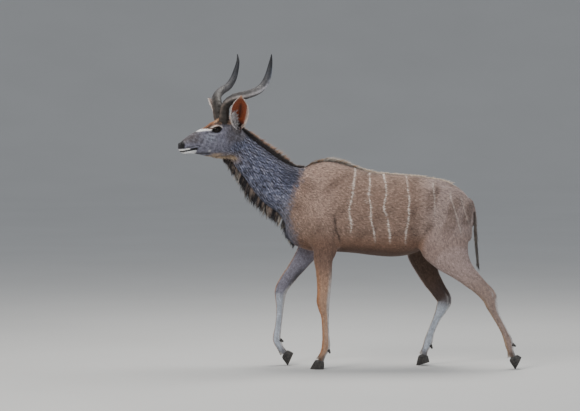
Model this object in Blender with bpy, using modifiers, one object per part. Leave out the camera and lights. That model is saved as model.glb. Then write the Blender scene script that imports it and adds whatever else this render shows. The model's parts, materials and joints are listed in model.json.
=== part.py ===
"""Greater kudu: a young bull in mid-stride, as a still life-size model.

Metres, +Z up. The nose points to -X and the animal's left side to -Y. The hooves rest on z = 0,
below the middle of the whole model. The flesh is lofted from cross-sections, blended into one
body and parted by thin cuts. Manes, throat fringe and tail brush are flat tapered locks.
"""

import math
import random

import bmesh
import bpy
from mathutils import Matrix, Vector

# Driving dimensions, in metres
GAP = 0.0003
STANCE_SHIFT = Vector((0.005, 0.052, 0.0))
BODY_VOXEL = 0.009
HEAD_VOXEL = 0.0045
BODY_TRIANGLES = 3000
HEAD_TRIANGLES = 1150

# Trunk sections across X: place, top, bottom, half width
TRUNK = [
    (-0.398, 0.985, 0.805, 0.055),
    (-0.353, 1.130, 0.758, 0.120),
    (-0.294, 1.218, 0.731, 0.152),
    (-0.233, 1.256, 0.715, 0.170),
    (-0.153, 1.273, 0.709, 0.182),
    (-0.061, 1.262, 0.706, 0.194),
    (0.037, 1.231, 0.700, 0.206),
    (0.153, 1.202, 0.686, 0.218),
    (0.276, 1.192, 0.679, 0.222),
    (0.380, 1.184, 0.697, 0.214),
    (0.490, 1.169, 0.745, 0.198),
    (0.582, 1.150, 0.778, 0.184),
    (0.662, 1.112, 0.798, 0.158),
    (0.722, 1.056, 0.822, 0.118),
    (0.758, 0.985, 0.872, 0.060),
]
# Neck sections: top X and Z, bottom X and Z, half width, sideways place of its middle
NECK = [
    (-0.697, 1.500, -0.785, 1.308, 0.056, -0.100),
    (-0.652, 1.462, -0.744, 1.284, 0.060, -0.085),
    (-0.602, 1.419, -0.701, 1.227, 0.065, -0.068),
    (-0.541, 1.368, -0.646, 1.158, 0.072, -0.050),
    (-0.474, 1.316, -0.588, 1.076, 0.082, -0.032),
    (-0.403, 1.268, -0.521, 1.002, 0.095, -0.018),
    (-0.325, 1.235, -0.435, 0.938, 0.112, -0.008),
    (-0.245, 1.232, -0.374, 0.828, 0.135, -0.002),
    (-0.172, 1.208, -0.294, 0.754, 0.150, 0.000),
]
# The head turns towards the animal's left about its poll
HEAD_PIVOT = Vector((-0.6866, -0.100, 0.0))
HEAD_YAW = math.radians(27)
HEAD_RISE = 0.008
# Head sections along its own axis: distance from the poll, top, bottom, half width
HEAD = [
    (-0.020, 1.470, 1.330, 0.045),
    (0.000, 1.493, 1.318, 0.052),
    (0.055, 1.524, 1.300, 0.063),
    (0.096, 1.529, 1.291, 0.068),
    (0.138, 1.522, 1.290, 0.066),
    (0.179, 1.505, 1.293, 0.058),
    (0.220, 1.478, 1.296, 0.049),
    (0.261, 1.459, 1.301, 0.042),
    (0.303, 1.440, 1.304, 0.038),
    (0.344, 1.416, 1.305, 0.037),
    (0.368, 1.399, 1.309, 0.035),
    (0.385, 1.384, 1.323, 0.030),
    (0.396, 1.369, 1.341, 0.019),
]
EYE_PLACE = (0.168, 0.0448, 1.460)
EYE_RADIUS = 0.0240
EYE_OPENING = (0.0265, 0.0165)
EAR_THICKNESS = 0.0045
EAR_WIDTH = 0.120
# Ear root and tip in the head's directions: forward, outward, height
EAR_ROOT = (0.024, 0.058, 1.472)
EAR_TIPS = {"left": (0.090, 0.233, 1.668), "right": (0.084, 0.236, 1.648)}
EAR_OPENING = (0.45, 0.89, 0.0)
HORN_BASE = (0.108, 0.036, 1.528)
# Horn path from its base: back, outward, up, radius
HORN = [
    (0.000, -0.010, -0.035, 0.027),
    (0.000, 0.003, 0.010, 0.030),
    (0.001, 0.023, 0.080, 0.029),
    (0.026, 0.086, 0.123, 0.0285),
    (0.075, 0.165, 0.145, 0.0275),
    (0.119, 0.200, 0.166, 0.0265),
    (0.157, 0.196, 0.190, 0.025),
    (0.188, 0.194, 0.233, 0.0225),
    (0.206, 0.192, 0.282, 0.018),
    (0.220, 0.190, 0.343, 0.0105),
    (0.221, 0.200, 0.388, 0.0025),
]

# Limb sections: X, Z, reach to the front, reach to the rear, half width, sideways place
FORE_LEFT = [
    (-0.245, 1.060, 0.070, 0.080, 0.050, -0.110),
    (-0.230, 0.980, 0.095, 0.100, 0.066, -0.112),
    (-0.196, 0.859, 0.090, 0.098, 0.066, -0.122),
    (-0.156, 0.755, 0.080, 0.084, 0.056, -0.128),
    (-0.166, 0.675, 0.062, 0.064, 0.048, -0.130),
    (-0.161, 0.595, 0.052, 0.054, 0.041, -0.128),
    (-0.160, 0.516, 0.045, 0.046, 0.035, -0.126),
    (-0.162, 0.460, 0.043, 0.042, 0.035, -0.124),
    (-0.166, 0.417, 0.042, 0.042, 0.036, -0.123),
    (-0.162, 0.372, 0.035, 0.036, 0.031, -0.122),
    (-0.156, 0.326, 0.025, 0.028, 0.023, -0.120),
    (-0.153, 0.264, 0.022, 0.025, 0.019, -0.118),
    (-0.151, 0.203, 0.022, 0.025, 0.019, -0.116),
    (-0.149, 0.154, 0.026, 0.029, 0.025, -0.115),
    (-0.153, 0.123, 0.026, 0.027, 0.026, -0.115),
    (-0.170, 0.086, 0.022, 0.023, 0.024, -0.115),
    (-0.186, 0.054, 0.027, 0.028, 0.029, -0.115),
]
FORE_RIGHT = [
    (-0.245, 1.040, 0.070, 0.080, 0.050, 0.110),
    (-0.236, 0.960, 0.095, 0.100, 0.066, 0.112),
    (-0.228, 0.840, 0.088, 0.095, 0.066, 0.118),
    (-0.250, 0.728, 0.072, 0.074, 0.055, 0.122),
    (-0.306, 0.640, 0.056, 0.060, 0.047, 0.122),
    (-0.360, 0.566, 0.048, 0.050, 0.039, 0.120),
    (-0.400, 0.510, 0.043, 0.043, 0.035, 0.117),
    (-0.424, 0.459, 0.040, 0.038, 0.036, 0.115),
    (-0.429, 0.408, 0.031, 0.032, 0.031, 0.113),
    (-0.431, 0.362, 0.024, 0.026, 0.023, 0.111),
    (-0.435, 0.300, 0.021, 0.023, 0.019, 0.109),
    (-0.442, 0.240, 0.021, 0.023, 0.019, 0.107),
    (-0.450, 0.186, 0.024, 0.026, 0.024, 0.106),
    (-0.448, 0.152, 0.026, 0.027, 0.026, 0.105),
    (-0.429, 0.110, 0.022, 0.023, 0.024, 0.105),
    (-0.407, 0.0745, 0.026, 0.027, 0.029, 0.105),
]
HIND_LEFT = [
    (0.640, 1.040, 0.100, 0.085, 0.060, -0.090),
    (0.616, 0.960, 0.140, 0.125, 0.085, -0.098),
    (0.594, 0.870, 0.165, 0.158, 0.095, -0.108),
    (0.578, 0.775, 0.168, 0.160, 0.084, -0.120),
    (0.614, 0.690, 0.122, 0.126, 0.069, -0.127),
    (0.668, 0.620, 0.080, 0.086, 0.053, -0.128),
    (0.727, 0.560, 0.060, 0.066, 0.040, -0.127),
    (0.790, 0.500, 0.046, 0.055, 0.031, -0.126),
    (0.842, 0.444, 0.043, 0.054, 0.031, -0.125),
    (0.862, 0.392, 0.036, 0.041, 0.029, -0.124),
    (0.884, 0.338, 0.026, 0.029, 0.022, -0.122),
    (0.913, 0.283, 0.022, 0.025, 0.019, -0.120),
    (0.942, 0.227, 0.022, 0.025, 0.019, -0.118),
    (0.963, 0.178, 0.026, 0.030, 0.025, -0.116),
    (0.972, 0.146, 0.026, 0.028, 0.026, -0.115),
    (0.980, 0.110, 0.022, 0.023, 0.024, -0.115),
    (0.987, 0.0745, 0.026, 0.027, 0.028, -0.115),
]
HIND_RIGHT = [
    (0.630, 1.030, 0.100, 0.085, 0.060, 0.090),
    (0.592, 0.950, 0.140, 0.125, 0.085, 0.098),
    (0.548, 0.860, 0.160, 0.158, 0.095, 0.108),
    (0.492, 0.770, 0.170, 0.158, 0.083, 0.120),
    (0.464, 0.680, 0.116, 0.118, 0.067, 0.126),
    (0.470, 0.606, 0.072, 0.084, 0.054, 0.127),
    (0.505, 0.530, 0.058, 0.066, 0.043, 0.126),
    (0.546, 0.466, 0.047, 0.056, 0.034, 0.125),
    (0.582, 0.404, 0.043, 0.052, 0.031, 0.124),
    (0.570, 0.352, 0.036, 0.040, 0.028, 0.122),
    (0.546, 0.302, 0.026, 0.029, 0.022, 0.120),
    (0.522, 0.250, 0.022, 0.025, 0.019, 0.118),
    (0.502, 0.200, 0.022, 0.025, 0.020, 0.117),
    (0.490, 0.160, 0.026, 0.030, 0.025, 0.116),
    (0.482, 0.130, 0.026, 0.028, 0.026, 0.115),
    (0.468, 0.098, 0.022, 0.023, 0.024, 0.114),
    (0.456, 0.0660, 0.026, 0.027, 0.028, 0.114),
]
# Each leg: its sections, the number of the section where its lower part starts, how far its
# hooves tip toe down from flat
LEGS = {
    "fore_left": (FORE_LEFT, 7, 0.0),
    "fore_right": (FORE_RIGHT, 7, 66.0),
    "hind_left": (HIND_LEFT, 8, 64.0),
    "hind_right": (HIND_RIGHT, 8, 16.0),
}
FORELEG_CUT = 0.694
THIGH_CUT = (0.360, 0.683, 0.33)
NECK_CUT = ((-0.363, 1.240), (-0.402, 0.920))
HEAD_CUT = 0.012

# Muscles that stand a little proud: X, Y, Z, half length, half width, half height, slope
MUSCLES = [
    (-0.222, 0.098, 1.045, 0.085, 0.074, 0.150, -16),
    (-0.175, 0.112, 0.905, 0.105, 0.080, 0.130, 24),
    (-0.300, 0.082, 0.930, 0.075, 0.062, 0.100, -10),
    (0.590, 0.106, 0.985, 0.165, 0.084, 0.135, 12),
    (0.500, 0.112, 1.078, 0.085, 0.060, 0.055, 8),
    (0.680, 0.085, 0.900, 0.070, 0.064, 0.120, -8),
]
TAIL = [
    (0.706, 1.058, 0.026),
    (0.744, 1.022, 0.022),
    (0.763, 0.965, 0.018),
    (0.767, 0.890, 0.016),
    (0.769, 0.820, 0.014),
    (0.776, 0.740, 0.011),
    (0.783, 0.655, 0.006),
]
HOOF_WIDTH = 0.029
HOOF_HEIGHT = 0.054


def clear_scene():
    """Remove whatever the file opens with."""
    for thing in list(bpy.data.objects):
        bpy.data.objects.remove(thing)


def make_collection(name):
    """Add a collection to the scene."""
    collection = bpy.data.collections.new(name)
    bpy.context.scene.collection.children.link(collection)
    return collection


def make_material(name, colour, roughness):
    """A plain Principled material for one kind of surface."""
    material = bpy.data.materials.new(name)
    material.use_nodes = True
    shader = material.node_tree.nodes["Principled BSDF"]
    shader.inputs["Base Color"].default_value = (*colour, 1.0)
    shader.inputs["Roughness"].default_value = roughness
    shader.inputs["Metallic"].default_value = 0.0
    return material


def add_object(name, bm, collection):
    """Turn a bmesh into an object whose faces point outwards."""
    bmesh.ops.recalc_face_normals(bm, faces=bm.faces)
    mesh = bpy.data.meshes.new(name)
    bm.to_mesh(mesh)
    bm.free()
    thing = bpy.data.objects.new(name, mesh)
    collection.objects.link(thing)
    return thing


def copy_object(source, name, collection):
    """Copy an object with its own mesh."""
    thing = bpy.data.objects.new(name, source.data.copy())
    collection.objects.link(thing)
    return thing


def apply_modifiers(thing):
    """Keep what the modifiers make and drop them."""
    bpy.context.view_layer.update()
    graph = bpy.context.evaluated_depsgraph_get()
    mesh = bpy.data.meshes.new_from_object(thing.evaluated_get(graph))
    old = thing.data
    thing.modifiers.clear()
    thing.data = mesh
    bpy.data.meshes.remove(old)


def smooth_rows(rows, steps):
    """Pass a smooth curve through each column of a table, with some rows between each two."""
    result = []
    for index in range(len(rows) - 1):
        before = rows[max(index - 1, 0)]
        start, end = rows[index], rows[index + 1]
        after = rows[min(index + 2, len(rows) - 1)]
        for step in range(steps):
            t = step / steps
            result.append(tuple(
                0.5 * (2 * b + (c - a) * t + (2 * a - 5 * b + 4 * c - d) * t * t
                       + (3 * b - a - 3 * c + d) * t ** 3)
                for a, b, c, d in zip(before, start, end, after)
            ))
    result.append(tuple(rows[-1]))
    return result


def row_at(rows, share):
    """The interpolated row at a share of a table's length."""
    place = share * (len(rows) - 1)
    index = min(int(place), len(rows) - 2)
    t = place - index
    return tuple(a + (b - a) * t for a, b in zip(rows[index], rows[index + 1]))


def loft(rings):
    """Skin closed rings of points, one after another, and cap both ends."""
    bm = bmesh.new()
    verts = [[bm.verts.new(point) for point in ring] for ring in rings]
    count = len(rings[0])
    for lower, upper in zip(verts, verts[1:]):
        for index in range(count):
            after = (index + 1) % count
            bm.faces.new((lower[index], lower[after], upper[after], upper[index]))
    for end in (verts[0], verts[-1]):
        if count > 2:
            bm.faces.new(end)
    bmesh.ops.triangulate(bm, faces=[face for face in bm.faces if len(face.verts) > 4])
    return bm


def egg_ring(middle, up, side, half_height, half_width, narrowing, sides):
    """A ring that is widest below its middle, as a rib cage is."""
    ring = []
    for index in range(sides):
        turn = 2 * math.pi * index / sides
        across = half_width * math.cos(turn) * (1 - narrowing * math.sin(turn))
        ring.append(middle + up * (half_height * math.sin(turn)) + side * across)
    return ring


def trunk_rings(sides=32):
    """Upright sections from the breast to the buttocks."""
    rings = []
    for place, top, bottom, half_width in smooth_rows(TRUNK, 3):
        middle = Vector((place, 0, (top + bottom) / 2))
        narrowing = 0.22 if place < 0.45 else 0.12
        rings.append(egg_ring(middle, Vector((0, 0, 1)), Vector((0, 1, 0)),
                              (top - bottom) / 2, half_width, narrowing, sides))
    return rings


def neck_rings(sides=24):
    """Sections from the poll down into the chest."""
    rings = []
    for row in smooth_rows(NECK, 3):
        top = Vector((row[0], row[5], row[1]))
        bottom = Vector((row[2], row[5], row[3]))
        half = (top - bottom) / 2
        rings.append(egg_ring((top + bottom) / 2, half.normalized(), Vector((0, 1, 0)),
                              half.length, row[4], 0.12, sides))
    return rings


def limb_rings(rows, sides, steps=2):
    """Sections square to a limb's own run, with unlike reach to front and rear."""
    table = smooth_rows(rows, steps)
    rings = []
    for index, row in enumerate(table):
        before = table[max(index - 1, 0)]
        after = table[min(index + 1, len(table) - 1)]
        down = Vector((after[0] - before[0], 0, after[1] - before[1])).normalized()
        front = Vector((down.z, 0, -down.x))
        middle = Vector((row[0], row[5], row[1]))
        ring = []
        for corner in range(sides):
            turn = 2 * math.pi * corner / sides
            reach = row[2] if math.cos(turn) > 0 else row[3]
            ring.append(middle + front * (reach * math.cos(turn))
                        + Vector((0, 1, 0)) * (row[4] * math.sin(turn)))
        rings.append(ring)
    return rings


def head_point(forward, left, height):
    """A place in the head's own directions, turned with the head."""
    sine, cosine = math.sin(HEAD_YAW), math.cos(HEAD_YAW)
    return Vector((HEAD_PIVOT.x - cosine * forward + sine * left,
                   HEAD_PIVOT.y - sine * forward - cosine * left, height + HEAD_RISE))


def head_rings(sides=24):
    """Upright sections from the poll to the lips."""
    up = Vector((0, 0, 1))
    side = head_point(0, 1, 0) - head_point(0, 0, 0)
    rings = []
    for forward, top, bottom, half_width in smooth_rows(HEAD, 3):
        middle = head_point(forward, 0, (top + bottom) / 2)
        rings.append(egg_ring(middle, up, side, (top - bottom) / 2, half_width, 0.10, sides))
    return rings


def ball(place, radii, slope=0.0, yaw=0.0, segments=20):
    """A stretched ball as a bmesh: its slope tips its length in the XZ plane."""
    bm = bmesh.new()
    bmesh.ops.create_uvsphere(bm, u_segments=segments, v_segments=segments // 2 + 2, radius=1.0)
    turn = Matrix.Rotation(yaw, 4, "Z") @ Matrix.Rotation(slope, 4, "Y")
    stretch = Matrix.Diagonal((*radii, 1.0))
    bmesh.ops.transform(bm, matrix=Matrix.Translation(place) @ turn @ stretch, verts=bm.verts)
    return bm


def blend(name, pieces, voxel, smoothing, triangles, collection):
    """Melt overlapping closed shapes into one smooth skin of about so many triangles."""
    joined = bmesh.new()
    for bm in pieces:
        bmesh.ops.recalc_face_normals(bm, faces=bm.faces)
        mesh = bpy.data.meshes.new("piece")
        bm.to_mesh(mesh)
        bm.free()
        joined.from_mesh(mesh)
        bpy.data.meshes.remove(mesh)
    mesh = bpy.data.meshes.new(name)
    joined.to_mesh(mesh)
    joined.free()
    thing = bpy.data.objects.new(name, mesh)
    collection.objects.link(thing)
    remesh = thing.modifiers.new("melt", "REMESH")
    remesh.mode = "VOXEL"
    remesh.voxel_size = voxel
    smooth = thing.modifiers.new("smooth", "SMOOTH")
    smooth.factor = 0.5
    smooth.iterations = smoothing
    apply_modifiers(thing)
    thing.data.calc_loop_triangles()
    decimate = thing.modifiers.new("thin", "DECIMATE")
    decimate.ratio = min(1.0, triangles / len(thing.data.loop_triangles))
    apply_modifiers(thing)
    keep_largest(thing)
    return thing


def keep_largest(thing):
    """Keep the closed surface that holds the most, and drop every other."""
    bm = bmesh.new()
    bm.from_mesh(thing.data)
    bmesh.ops.remove_doubles(bm, verts=bm.verts, dist=1e-6)
    bmesh.ops.dissolve_degenerate(bm, dist=1e-6, edges=bm.edges)
    bmesh.ops.triangulate(bm, faces=bm.faces)
    unseen = set(bm.faces)
    groups = []
    while unseen:
        queue = [unseen.pop()]
        group = []
        while queue:
            face = queue.pop()
            group.append(face)
            for edge in face.edges:
                for other in edge.link_faces:
                    if other in unseen:
                        unseen.remove(other)
                        queue.append(other)
        groups.append(group)
    volumes = []
    for group in groups:
        volume = sum(f.verts[0].co.dot(f.verts[1].co.cross(f.verts[2].co)) for f in group)
        volumes.append(abs(volume))
    best = groups[volumes.index(max(volumes))]
    kept = set(best)
    drop = [face for face in bm.faces if face not in kept]
    bmesh.ops.delete(bm, geom=drop, context="FACES")
    loose = [vert for vert in bm.verts if not vert.link_faces]
    bmesh.ops.delete(bm, geom=loose, context="VERTS")
    bmesh.ops.recalc_face_normals(bm, faces=bm.faces)
    bm.to_mesh(thing.data)
    bm.free()


def cut_off(thing, point, outward):
    """Cut away what lies beyond a plane and close the cut with a flat face."""
    bm = bmesh.new()
    bm.from_mesh(thing.data)
    geometry = list(bm.verts) + list(bm.edges) + list(bm.faces)
    bmesh.ops.bisect_plane(bm, geom=geometry, dist=1e-6, plane_co=point, plane_no=outward,
                           clear_outer=True)
    open_edges = [edge for edge in bm.edges if edge.is_boundary]
    bmesh.ops.holes_fill(bm, edges=open_edges, sides=0)
    bm.to_mesh(thing.data)
    bm.free()
    keep_largest(thing)


def combine(thing, others, operation, solver="EXACT"):
    """One Boolean with a collection of closed shapes, which are then removed."""
    cutters = make_collection("shapes")
    for other in others:
        for owner in list(other.users_collection):
            owner.objects.unlink(other)
        cutters.objects.link(other)
        other.hide_render = True
        other.display_type = "WIRE"
    boolean = thing.modifiers.new("combine", "BOOLEAN")
    boolean.operand_type = "COLLECTION"
    boolean.collection = cutters
    boolean.operation = operation
    boolean.solver = solver
    apply_modifiers(thing)
    for other in list(cutters.objects):
        bpy.data.objects.remove(other)
    bpy.data.collections.remove(cutters)
    keep_largest(thing)


def keep_clear(thing, body, collection):
    """Trim a piece to the surface it grows from, with the small gap between."""
    wall = copy_object(body, "wall", collection)
    swell = wall.modifiers.new("swell", "DISPLACE")
    swell.strength = GAP * 1.6
    swell.mid_level = 0.0
    apply_modifiers(wall)
    combine(thing, [wall], "DIFFERENCE")


def lock(root, way, side, length, width, thickness, curl, sink, collection):
    """A flat tapered lock: it leaves its root along way and bends over along curl."""
    stations = 5
    rings = []
    flat = way.cross(side).normalized()
    for index in range(stations):
        t = index / (stations - 1)
        middle = root + way * (length * t - sink * (1 - t)) + curl * (t * t)
        share = (0.80, 1.0, 0.86, 0.52, 0.07)[index]
        half = side * (width / 2 * share)
        thick = flat * (thickness / 2 * (0.6 + 0.4 * share))
        rings.append([middle + half, middle + thick, middle - half, middle - thick])
    return add_object("lock", loft(rings), collection)


def fin(roots, ways, heights, half_thickness, sink, collection):
    """A smooth blade of hair that follows a line of roots."""
    rings = []
    for root, way, height in zip(roots, ways, heights):
        wide = Vector((0, half_thickness, 0))
        low = root + way * (height * 0.30)
        rings.append([root - way * sink, low - wide, root + way * height, low + wide])
    return add_object("fin", loft(rings), collection)


def make_body(collection):
    """Blend trunk, neck, muscles and the upper legs into one skin."""
    pieces = [loft(trunk_rings()), loft(neck_rings())]
    for rows, lower, _ in LEGS.values():
        pieces.append(loft(limb_rings(rows[:lower + 3], 20)))
    for x, y, z, long, wide, high, slope in MUSCLES:
        for side in (-1, 1):
            pieces.append(ball(Vector((x, side * y, z)), (long, wide, high), math.radians(slope)))
    return blend("body", pieces, BODY_VOXEL, 24, BODY_TRIANGLES, collection)


def make_head(collection):
    """The head: skull, brows, cheeks and muzzle, with eye sockets, mouth line and nostrils."""
    pieces = [loft(head_rings())]
    yaw = HEAD_YAW
    for side in (-1, 1):
        forward, left, height = EYE_PLACE
        pieces.append(ball(head_point(forward, side * (left - 0.006), height + 0.001),
                           (0.042, 0.025, 0.030), math.radians(-14), yaw))
        pieces.append(ball(head_point(0.100, side * 0.040, 1.368), (0.062, 0.034, 0.052), 0.0, yaw))
        pieces.append(ball(head_point(0.232, side * 0.026, 1.372), (0.060, 0.022, 0.026),
                           math.radians(-14), yaw))
        pieces.append(ball(head_point(0.020, side * 0.042, 1.464), (0.024, 0.022, 0.026), 0.0, yaw))
        pieces.append(ball(head_point(0.374, side * 0.021, 1.368), (0.020, 0.015, 0.015), 0.0, yaw))
    pieces.append(ball(head_point(0.352, 0, 1.320), (0.028, 0.026, 0.011), 0.0, yaw))
    head = blend("head", pieces, HEAD_VOXEL, 5, HEAD_TRIANGLES, collection)
    back = head_point(HEAD_CUT, 0, 1.4)
    cut_off(head, back, head_cut_direction())
    combine(head, lid_rings(collection), "UNION")
    cutters = [eye_ball("socket", side, EYE_RADIUS + GAP, collection) for side in (-1, 1)]
    cutters.append(mouth_cutter(collection))
    for side in (-1, 1):
        nostril = ball(head_point(0.393, side * 0.0230, 1.370), (0.016, 0.0055, 0.0075),
                       math.radians(-30), HEAD_YAW + side * math.radians(28), 12)
        cutters.append(add_object("nostril", nostril, collection))
    combine(head, cutters, "DIFFERENCE")
    return head


def head_cut_direction():
    """The way out of the head at its joint with the neck: back and down along the neck."""
    flat = head_point(-1, 0, 0) - head_point(0, 0, 0)
    return (flat.normalized() + Vector((0, 0, -0.40))).normalized()


def eye_ball(name, side, radius, collection):
    """One eyeball, also the cutter of its socket."""
    forward, left, height = EYE_PLACE
    bm = ball(head_point(forward, side * left, height), (radius,) * 3, 0.0, HEAD_YAW, 12)
    return add_object(name, bm, collection)


def lid_rings(collection):
    """Upper and lower lids: an almond-shaped rim that lies on each eyeball."""
    rims = []
    forward, left, height = EYE_PLACE
    half_length, half_height = EYE_OPENING
    over_eye = EYE_RADIUS + 0.0015
    count = 16
    for side in (-1, 1):
        away = (head_point(0, side, 0) - head_point(0, 0, 0)).normalized()
        rings = []
        for index in range(count):
            turn = 2 * math.pi * index / count
            along = half_length * math.cos(turn)
            above = half_height * math.sin(turn) - 0.10 * along
            inside = over_eye ** 2 - along ** 2 - above ** 2
            bulge = max(math.sqrt(max(inside, 0.0)), 0.0125)
            middle = head_point(forward + along, side * (left + bulge), height + above)
            ray = head_point(forward + along, 0, height + above)
            out = (ray - head_point(forward, 0, height)).normalized()
            thick = 0.0052 if turn < math.pi else 0.0040
            rings.append([middle + out * thick, middle + away * (thick * 0.7),
                          middle - out * thick * 0.6, middle - away * (thick * 1.6)])
        rims.append(add_object("lids", closed_band(rings), collection))
    return rims


def closed_band(rings):
    """Skin rings of points into a closed hoop."""
    bm = bmesh.new()
    verts = [[bm.verts.new(point) for point in ring] for ring in rings]
    count = len(rings[0])
    for index, here in enumerate(verts):
        after = verts[(index + 1) % len(verts)]
        for corner in range(count):
            turned = (corner + 1) % count
            bm.faces.new((here[corner], here[turned], after[turned], after[corner]))
    return bm


def mouth_cutter(collection):
    """A thin band that runs round the muzzle and leaves the line between the lips."""
    half_opening = 0.0011
    depth = 0.0048
    rows = smooth_rows(HEAD, 3)
    outline = []
    for forward, _, _, half_width in rows:
        if forward > 0.278:
            outline.append((forward, half_width))
    path = [(f, w) for f, w in outline] + [(0.4005, 0.0)] + [(f, -w) for f, w in outline[::-1]]
    rings = []
    for forward, left in path:
        share = (forward - 0.278) / 0.12
        height = 1.341 - 0.009 * share
        if forward < 0.40:
            inner = left * max(0.0, 1 - depth / max(abs(left), depth * 1.02))
            inner_forward = forward
        else:
            inner, inner_forward = 0.0, forward - depth * 1.6
        outer = left * 1.35
        outer_forward = forward + (0.012 if forward > 0.39 else 0.0)
        sag = Vector((0, 0, half_opening))
        inside = head_point(inner_forward, inner, height)
        outside = head_point(outer_forward, outer, height)
        rings.append([inside + sag * 0.4, outside + sag, outside - sag, inside - sag * 0.4])
    return add_object("mouth", loft(rings), collection)


def make_horn(side, collection):
    """One horn: an open spiral with a keel that winds round it and low rings near its base."""
    table = smooth_rows(HORN, 2)
    sides = 10
    points = []
    for back, outward, up, radius in table:
        points.append((head_point(HORN_BASE[0] - back, side * (HORN_BASE[1] + outward),
                                  HORN_BASE[2] + up), radius))
    rings = []
    normal = None
    for index, (middle, radius) in enumerate(points):
        before = points[max(index - 1, 0)][0]
        after = points[min(index + 1, len(points) - 1)][0]
        tangent = (after - before).normalized()
        if normal is None:
            normal = (head_point(1, 0, 0) - head_point(0, 0, 0))
        normal = (normal - tangent * normal.dot(tangent)).normalized()
        across = tangent.cross(normal)
        share = index / (len(points) - 1)
        keel = side * (math.radians(20) + math.radians(300) * share)
        rings_low = 1 + 0.035 * math.sin(index * 2.6) * (1 - share)
        ring = []
        for corner in range(sides):
            turn = 2 * math.pi * corner / sides
            lift = math.exp(-(((turn - keel + math.pi) % (2 * math.pi) - math.pi) / 0.42) ** 2)
            reach = radius * (0.93 + 0.24 * lift * min(1.0, 3 * (1 - share))) * rings_low
            ring.append(middle + normal * (reach * math.cos(turn))
                        + across * (reach * math.sin(turn)))
        rings.append(ring)
    word = "left" if side > 0 else "right"
    return add_object("horn_" + word, loft(rings), collection)


def make_ear(side, collection):
    """One ear: a leaf-shaped cup on a short round root."""
    word = "left" if side > 0 else "right"
    forward, outward, height = EAR_TIPS[word]
    root = head_point(EAR_ROOT[0], side * EAR_ROOT[1], EAR_ROOT[2])
    tip = head_point(forward, side * outward, height)
    opening = head_point(EAR_OPENING[0], side * EAR_OPENING[1], 0) - head_point(0, 0, 0)
    axis = tip - root
    length = axis.length
    axis.normalize()
    opening = (opening - axis * opening.dot(axis)).normalized()
    across = axis.cross(opening).normalized()
    rows, columns = 7, 6
    bm = bmesh.new()
    grid = []
    for row in range(rows + 1):
        t = row / rows
        half_width = EAR_WIDTH / 2 * (0.34 + 0.66 * math.sin(math.pi * min(t * 0.86 + 0.06, 1)))
        half_width *= max(0.03, (1 - t ** 6) ** 0.8)
        wrap = math.radians(128 - 78 * min(1.0, t * 1.5))
        radius = half_width / math.sin(min(wrap, math.pi / 2))
        line = []
        for column in range(columns + 1):
            s = 2 * column / columns - 1
            angle = wrap * s
            back = radius * (1 - math.cos(angle)) - radius * (1 - math.cos(wrap)) * 0.5
            point = root + axis * (length * t) + across * (radius * math.sin(angle))
            line.append(bm.verts.new(point + opening * (back - 0.012 * math.sin(math.pi * t))))
        grid.append(line)
    for row in range(rows):
        for column in range(columns):
            corners = (grid[row][column], grid[row][column + 1], grid[row + 1][column + 1],
                       grid[row + 1][column])
            bm.faces.new(corners)
    bmesh.ops.triangulate(bm, faces=bm.faces)
    ear = add_object("ear_" + word, bm, collection)
    shell = ear.modifiers.new("wall", "SOLIDIFY")
    shell.thickness = EAR_THICKNESS
    shell.offset = 0.0
    apply_modifiers(ear)
    stub = ball(root - opening * 0.012, (0.016, 0.016, 0.020), 0.0, 0.0, 8)
    combine(ear, [add_object("stub", stub, collection)], "UNION")
    return ear


def make_tail_core(collection):
    """The dock of the tail, which hangs clear behind the buttocks."""
    rings = []
    table = smooth_rows(TAIL, 2)
    for index, (x, z, radius) in enumerate(table):
        before = table[max(index - 1, 0)]
        after = table[min(index + 1, len(table) - 1)]
        down = Vector((after[0] - before[0], 0, after[1] - before[1])).normalized()
        front = Vector((down.z, 0, -down.x))
        rings.append(egg_ring(Vector((x, 0, z)), front, Vector((0, 1, 0)), radius * 0.8,
                              radius * 1.25, 0.0, 10))
    return add_object("tail", loft(rings), collection)


def tail_locks(collection):
    """The brush: locks that hang from both edges and the back of the dock."""
    draw = random.Random(5)
    locks = []
    for row in range(3):
        x, z, radius = row_at(TAIL, 0.42 + 0.52 * row / 2)
        for column in (-1, 0, 1):
            lean = Vector((0.08 if column == 0 else 0.02, 0.20 * column, -1.0)).normalized()
            side = Vector((0, 1, 0)) if column == 0 else Vector((1, 0.4 * column, 0))
            side = (side - lean * side.dot(lean)).normalized()
            root = Vector((x + 0.004, column * radius * 0.7, z))
            length = 0.100 + 0.020 * draw.random() - 0.010 * row
            locks.append(lock(root, lean, side, length, 0.028, 0.008,
                              Vector((0.002, -0.007 * column, 0)), 0.006, collection))
    return locks


def neck_edge(share, top):
    """A point on the neck's upper or lower midline, with the way out of it and along it."""
    row = row_at(NECK, share)
    after = row_at(NECK, min(share + 0.02, 1.0))
    low = Vector((row[2], row[5], row[3]))
    high = Vector((row[0], row[5], row[1]))
    here, out = (high, high - low) if top else (low, low - high)
    end = Vector((after[0], after[5], after[1])) if top else Vector((after[2], after[5], after[3]))
    along = (end - here).normalized()
    out = (out - along * out.dot(along)).normalized()
    return here, out, along


def nape_height(t):
    """The height of the nape mane along its length, from 0 at the ears to 1."""
    return 0.028 + 0.026 * min(1.0, 1.2 * t)


def nape_fin(reach, collection):
    """The body of the nape mane, out to a share of its height."""
    roots, ways, heights = [], [], []
    for index in range(13):
        t = index / 12
        here, out, along = neck_edge(0.05 + 0.60 * t, True)
        roots.append(here)
        ways.append((out + along * 0.35).normalized())
        heights.append(nape_height(t) * reach * (0.35 if index in (0, 12) else 1))
    return fin(roots, ways, heights, 0.010, 0.016, collection)


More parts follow.
